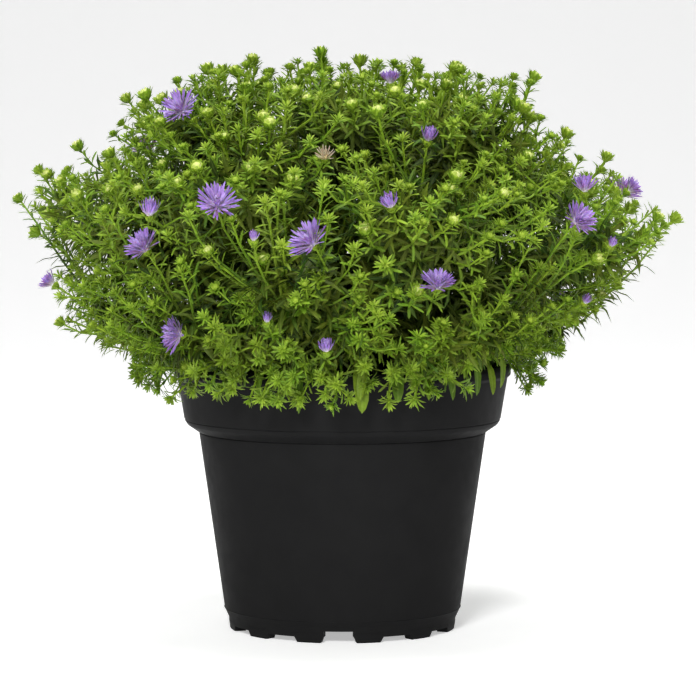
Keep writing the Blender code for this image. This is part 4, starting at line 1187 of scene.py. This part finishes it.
def leaf_material(mottle, ribs):
    """Leaf green by age, from the pale crown of a bud to old inner leaves, whose near-black greens are
    partly painted shade, with a lighter rib.
    """
    material, shading, shader = start_material("leaf_green", LEAF_SKIN)
    # The age attribute gives the leaves' own green by age, and for old inner leaves painted shade as
    # well
    age = shading.attribute("age")
    sunny = shading.spread(shading.attribute("tone"), 0.0, 1.0, 0.0, 0.3)
    colour = shading.blend(sunny, shading.ramp(age, AGE_AND_SHADE_GREENS), SUNNY_GREEN)
    patch = shading.use(mottle, Scale=160.0, Low=0.78, High=1.22)["Mask"]
    rib = shading.use(ribs, Width=0.16, Lines=3.0)["Rib"]
    share = shading.maths("MULTIPLY", rib, shading.spread(age, 0.3, 0.8, 0.4, 0.12))
    colour = shading.blend(share, shading.brighten(colour, patch), RIB_GREEN)
    rough = shading.use(mottle, Scale=90.0, Low=0.42, High=0.62)["Mask"]
    shading.finish(shader, colour, rough, rib, 0.4, 0.0002)
    return material


def ray_material(name, ribs, mottle, stops, root, tip, edge):
    """Rays by layer, from the pale heart to the deep outer ones, with fine lines along them."""
    material, shading, shader = start_material(name, RAY_SKIN)
    tone = shading.spread(shading.attribute("tone"), 0.0, 1.0, 0.5, 1.45)
    colour = shading.brighten(shading.ramp(shading.attribute("age"), stops), tone)
    along = shading.blade_map()[0]
    colour = shading.blend(shading.spread(along, 0.2, 1.0, 0.0, 0.45), colour, tip)
    colour = shading.blend(shading.spread(along, 0.0, 0.62, 0.85, 0.0), colour, root)
    lines = shading.use(ribs, Width=0.12, Lines=3.0)["Lines"]
    colour = shading.blend(shading.maths("MULTIPLY", lines, 0.22), colour, edge)
    rough = shading.use(mottle, Scale=200.0, Low=0.5, High=0.68)["Mask"]
    shading.finish(shader, colour, rough, lines, 0.35, 0.0001)
    return material


def pot_material(mottle):
    """Black moulded plastic: a fine grain, a faint uneven sheen and a little dust."""
    material, shading, shader = start_material("pot_plastic", {"Specular IOR Level": 0.02})
    dust = shading.use(mottle, Scale=14.0, Low=0.0, High=0.35)["Mask"]
    colour = shading.blend(dust, BLACK_PLASTIC, DUSTY_PLASTIC)
    rough = shading.use(mottle, Scale=35.0, Low=0.46, High=0.60)["Mask"]
    shading.finish(shader, colour, rough, shading.noise(1800.0, 2.0), 0.12, 0.0002)
    return material


def soil_material(mottle):
    """Moist peat: dark brown, with lighter fibres and bark where the crumbs lie."""
    material, shading, shader = start_material("soil_mix", {"Specular IOR Level": 0.2})
    patch = shading.use(mottle, Scale=420.0, Low=0.45, High=1.5)["Mask"]
    colour = shading.brighten(shading.ramp(shading.attribute("tone"), SOIL_STOPS), patch)
    rough = shading.use(mottle, Scale=300.0, Low=0.82, High=1.0)["Mask"]
    shading.finish(shader, colour, rough, shading.noise(900.0, 6.0), 0.8, 0.0008)
    return material


# Backdrop: a floor that curves up into a wall behind the object
SWEEP_WIDTH = 40.0
SWEEP_FRONT = -30.0
SWEEP_BACK = 2.0
SWEEP_BEND = 2.5
SWEEP_TOP = 7.0
PAPER = {
    "Base Color": (0.9, 0.9, 0.9),
    "Roughness": 0.9,
    "Specular IOR Level": 0.1,
    "Emission Color": (1.0, 1.0, 1.0),
    "Emission Strength": 0.44,
}


def new_object(name, data):
    thing = bpy.data.objects.new(name, data)
    bpy.context.scene.collection.objects.link(thing)
    return thing


def hang(name, data, place, target):
    """An object at a place whose -Z axis points at a target."""
    thing = new_object(name, data)
    thing.location = place
    thing.rotation_euler = (Vector(target) - Vector(place)).to_track_quat("-Z", "Y").to_euler()
    return thing


def add_sweep():
    """The section runs level, then a quarter circle upwards, then straight up."""
    turns = np.linspace(0.0, math.pi / 2, 24)
    arc = [(SWEEP_BACK + SWEEP_BEND * math.sin(t), SWEEP_BEND * (1.0 - math.cos(t))) for t in turns]
    section = [(SWEEP_FRONT, 0.0)] + arc + [(SWEEP_BACK + SWEEP_BEND, SWEEP_TOP)]
    half = SWEEP_WIDTH / 2.0
    corners = [(side, y, z) for y, z in section for side in (-half, half)]
    faces = [(2 * k, 2 * k + 1, 2 * k + 3, 2 * k + 2) for k in range(len(section) - 1)]
    mesh = bpy.data.meshes.new("backdrop")
    mesh.from_pydata(corners, [], faces)
    mesh.shade_smooth()
    mesh.materials.append(start_material("backdrop", PAPER)[0])
    new_object("backdrop", mesh)


# Lights: where each soft panel hangs, what it points at, its width and its power in watts
PANELS = [
    ("key", (-0.45, -2.4, 1.6), 0.8, 61.0),
    ("fill", (0.9, -2.2, 0.9), 1.4, 6.0),
    ("top", (0.0, -0.1, 2.4), 1.2, 46.0),
]
MIDDLE = (0.0, 0.0, 0.17)
SKY_STRENGTH = 0.045
CAMERA_PLACE = (0.003, -1.700, 0.267)
CAMERA_TARGET = (0.0031, 0.0, 0.158)
FRAME_SIZE = 696
FOCAL_PIXELS = 3015.0
SENSOR = 36.0


def add_lights():
    """Soft round panels, an even white sky and the standard view transform."""
    for name, place, width, power in PANELS:
        panel = bpy.data.lights.new(name, "AREA")
        panel.shape = "DISK"
        panel.size = width
        panel.energy = power
        hang(name, panel, place, MIDDLE)
    world = bpy.data.worlds.new("studio")
    world.use_nodes = True
    sky = world.node_tree.nodes["Background"]
    sky.inputs["Color"].default_value = (1.0, 1.0, 1.0, 1.0)
    sky.inputs["Strength"].default_value = SKY_STRENGTH
    bpy.context.scene.world = world
    bpy.context.scene.view_settings.view_transform = "Standard"


def add_camera():
    """The lens gives the photo's focal length in pixels across the frame."""
    lens = bpy.data.cameras.new("camera")
    lens.sensor_width = SENSOR
    lens.lens = FOCAL_PIXELS / FRAME_SIZE * SENSOR
    lens.clip_start = 0.05
    bpy.context.scene.camera = hang("camera", lens, CAMERA_PLACE, CAMERA_TARGET)


# Rays: colours by layer from the heart outwards, then those of their roots, tips and fine lines
VIOLET_STOPS = [(0.0, (0.88, 0.80, 0.91)), (0.4, (0.50, 0.36, 0.72)), (1.0, (0.26, 0.14, 0.51))]
VIOLET = ((0.90, 0.84, 0.76), (0.40, 0.25, 0.68), (0.11, 0.045, 0.27))
WITHERED_STOPS = [(0.0, (0.62, 0.54, 0.22)), (0.5, (0.58, 0.48, 0.34)), (1.0, (0.34, 0.24, 0.20))]
WITHERED = ((0.66, 0.64, 0.34), (0.62, 0.58, 0.40), (0.20, 0.14, 0.10))


def main():
    """Build the stage, the finishes and every piece."""
    add_camera()
    add_lights()
    add_sweep()
    mottle, ribs = mottle_group(), rib_group()
    violet = ray_material("ray_violet", ribs, mottle, VIOLET_STOPS, *VIOLET)
    withered = ray_material("ray_withered", ribs, mottle, WITHERED_STOPS, *WITHERED)
    add_pot(pot_material(mottle))
    add_soil(soil_material(mottle))
    add_foliage(leaf_material(mottle, ribs))
    add_blooms(violet, withered)


main()
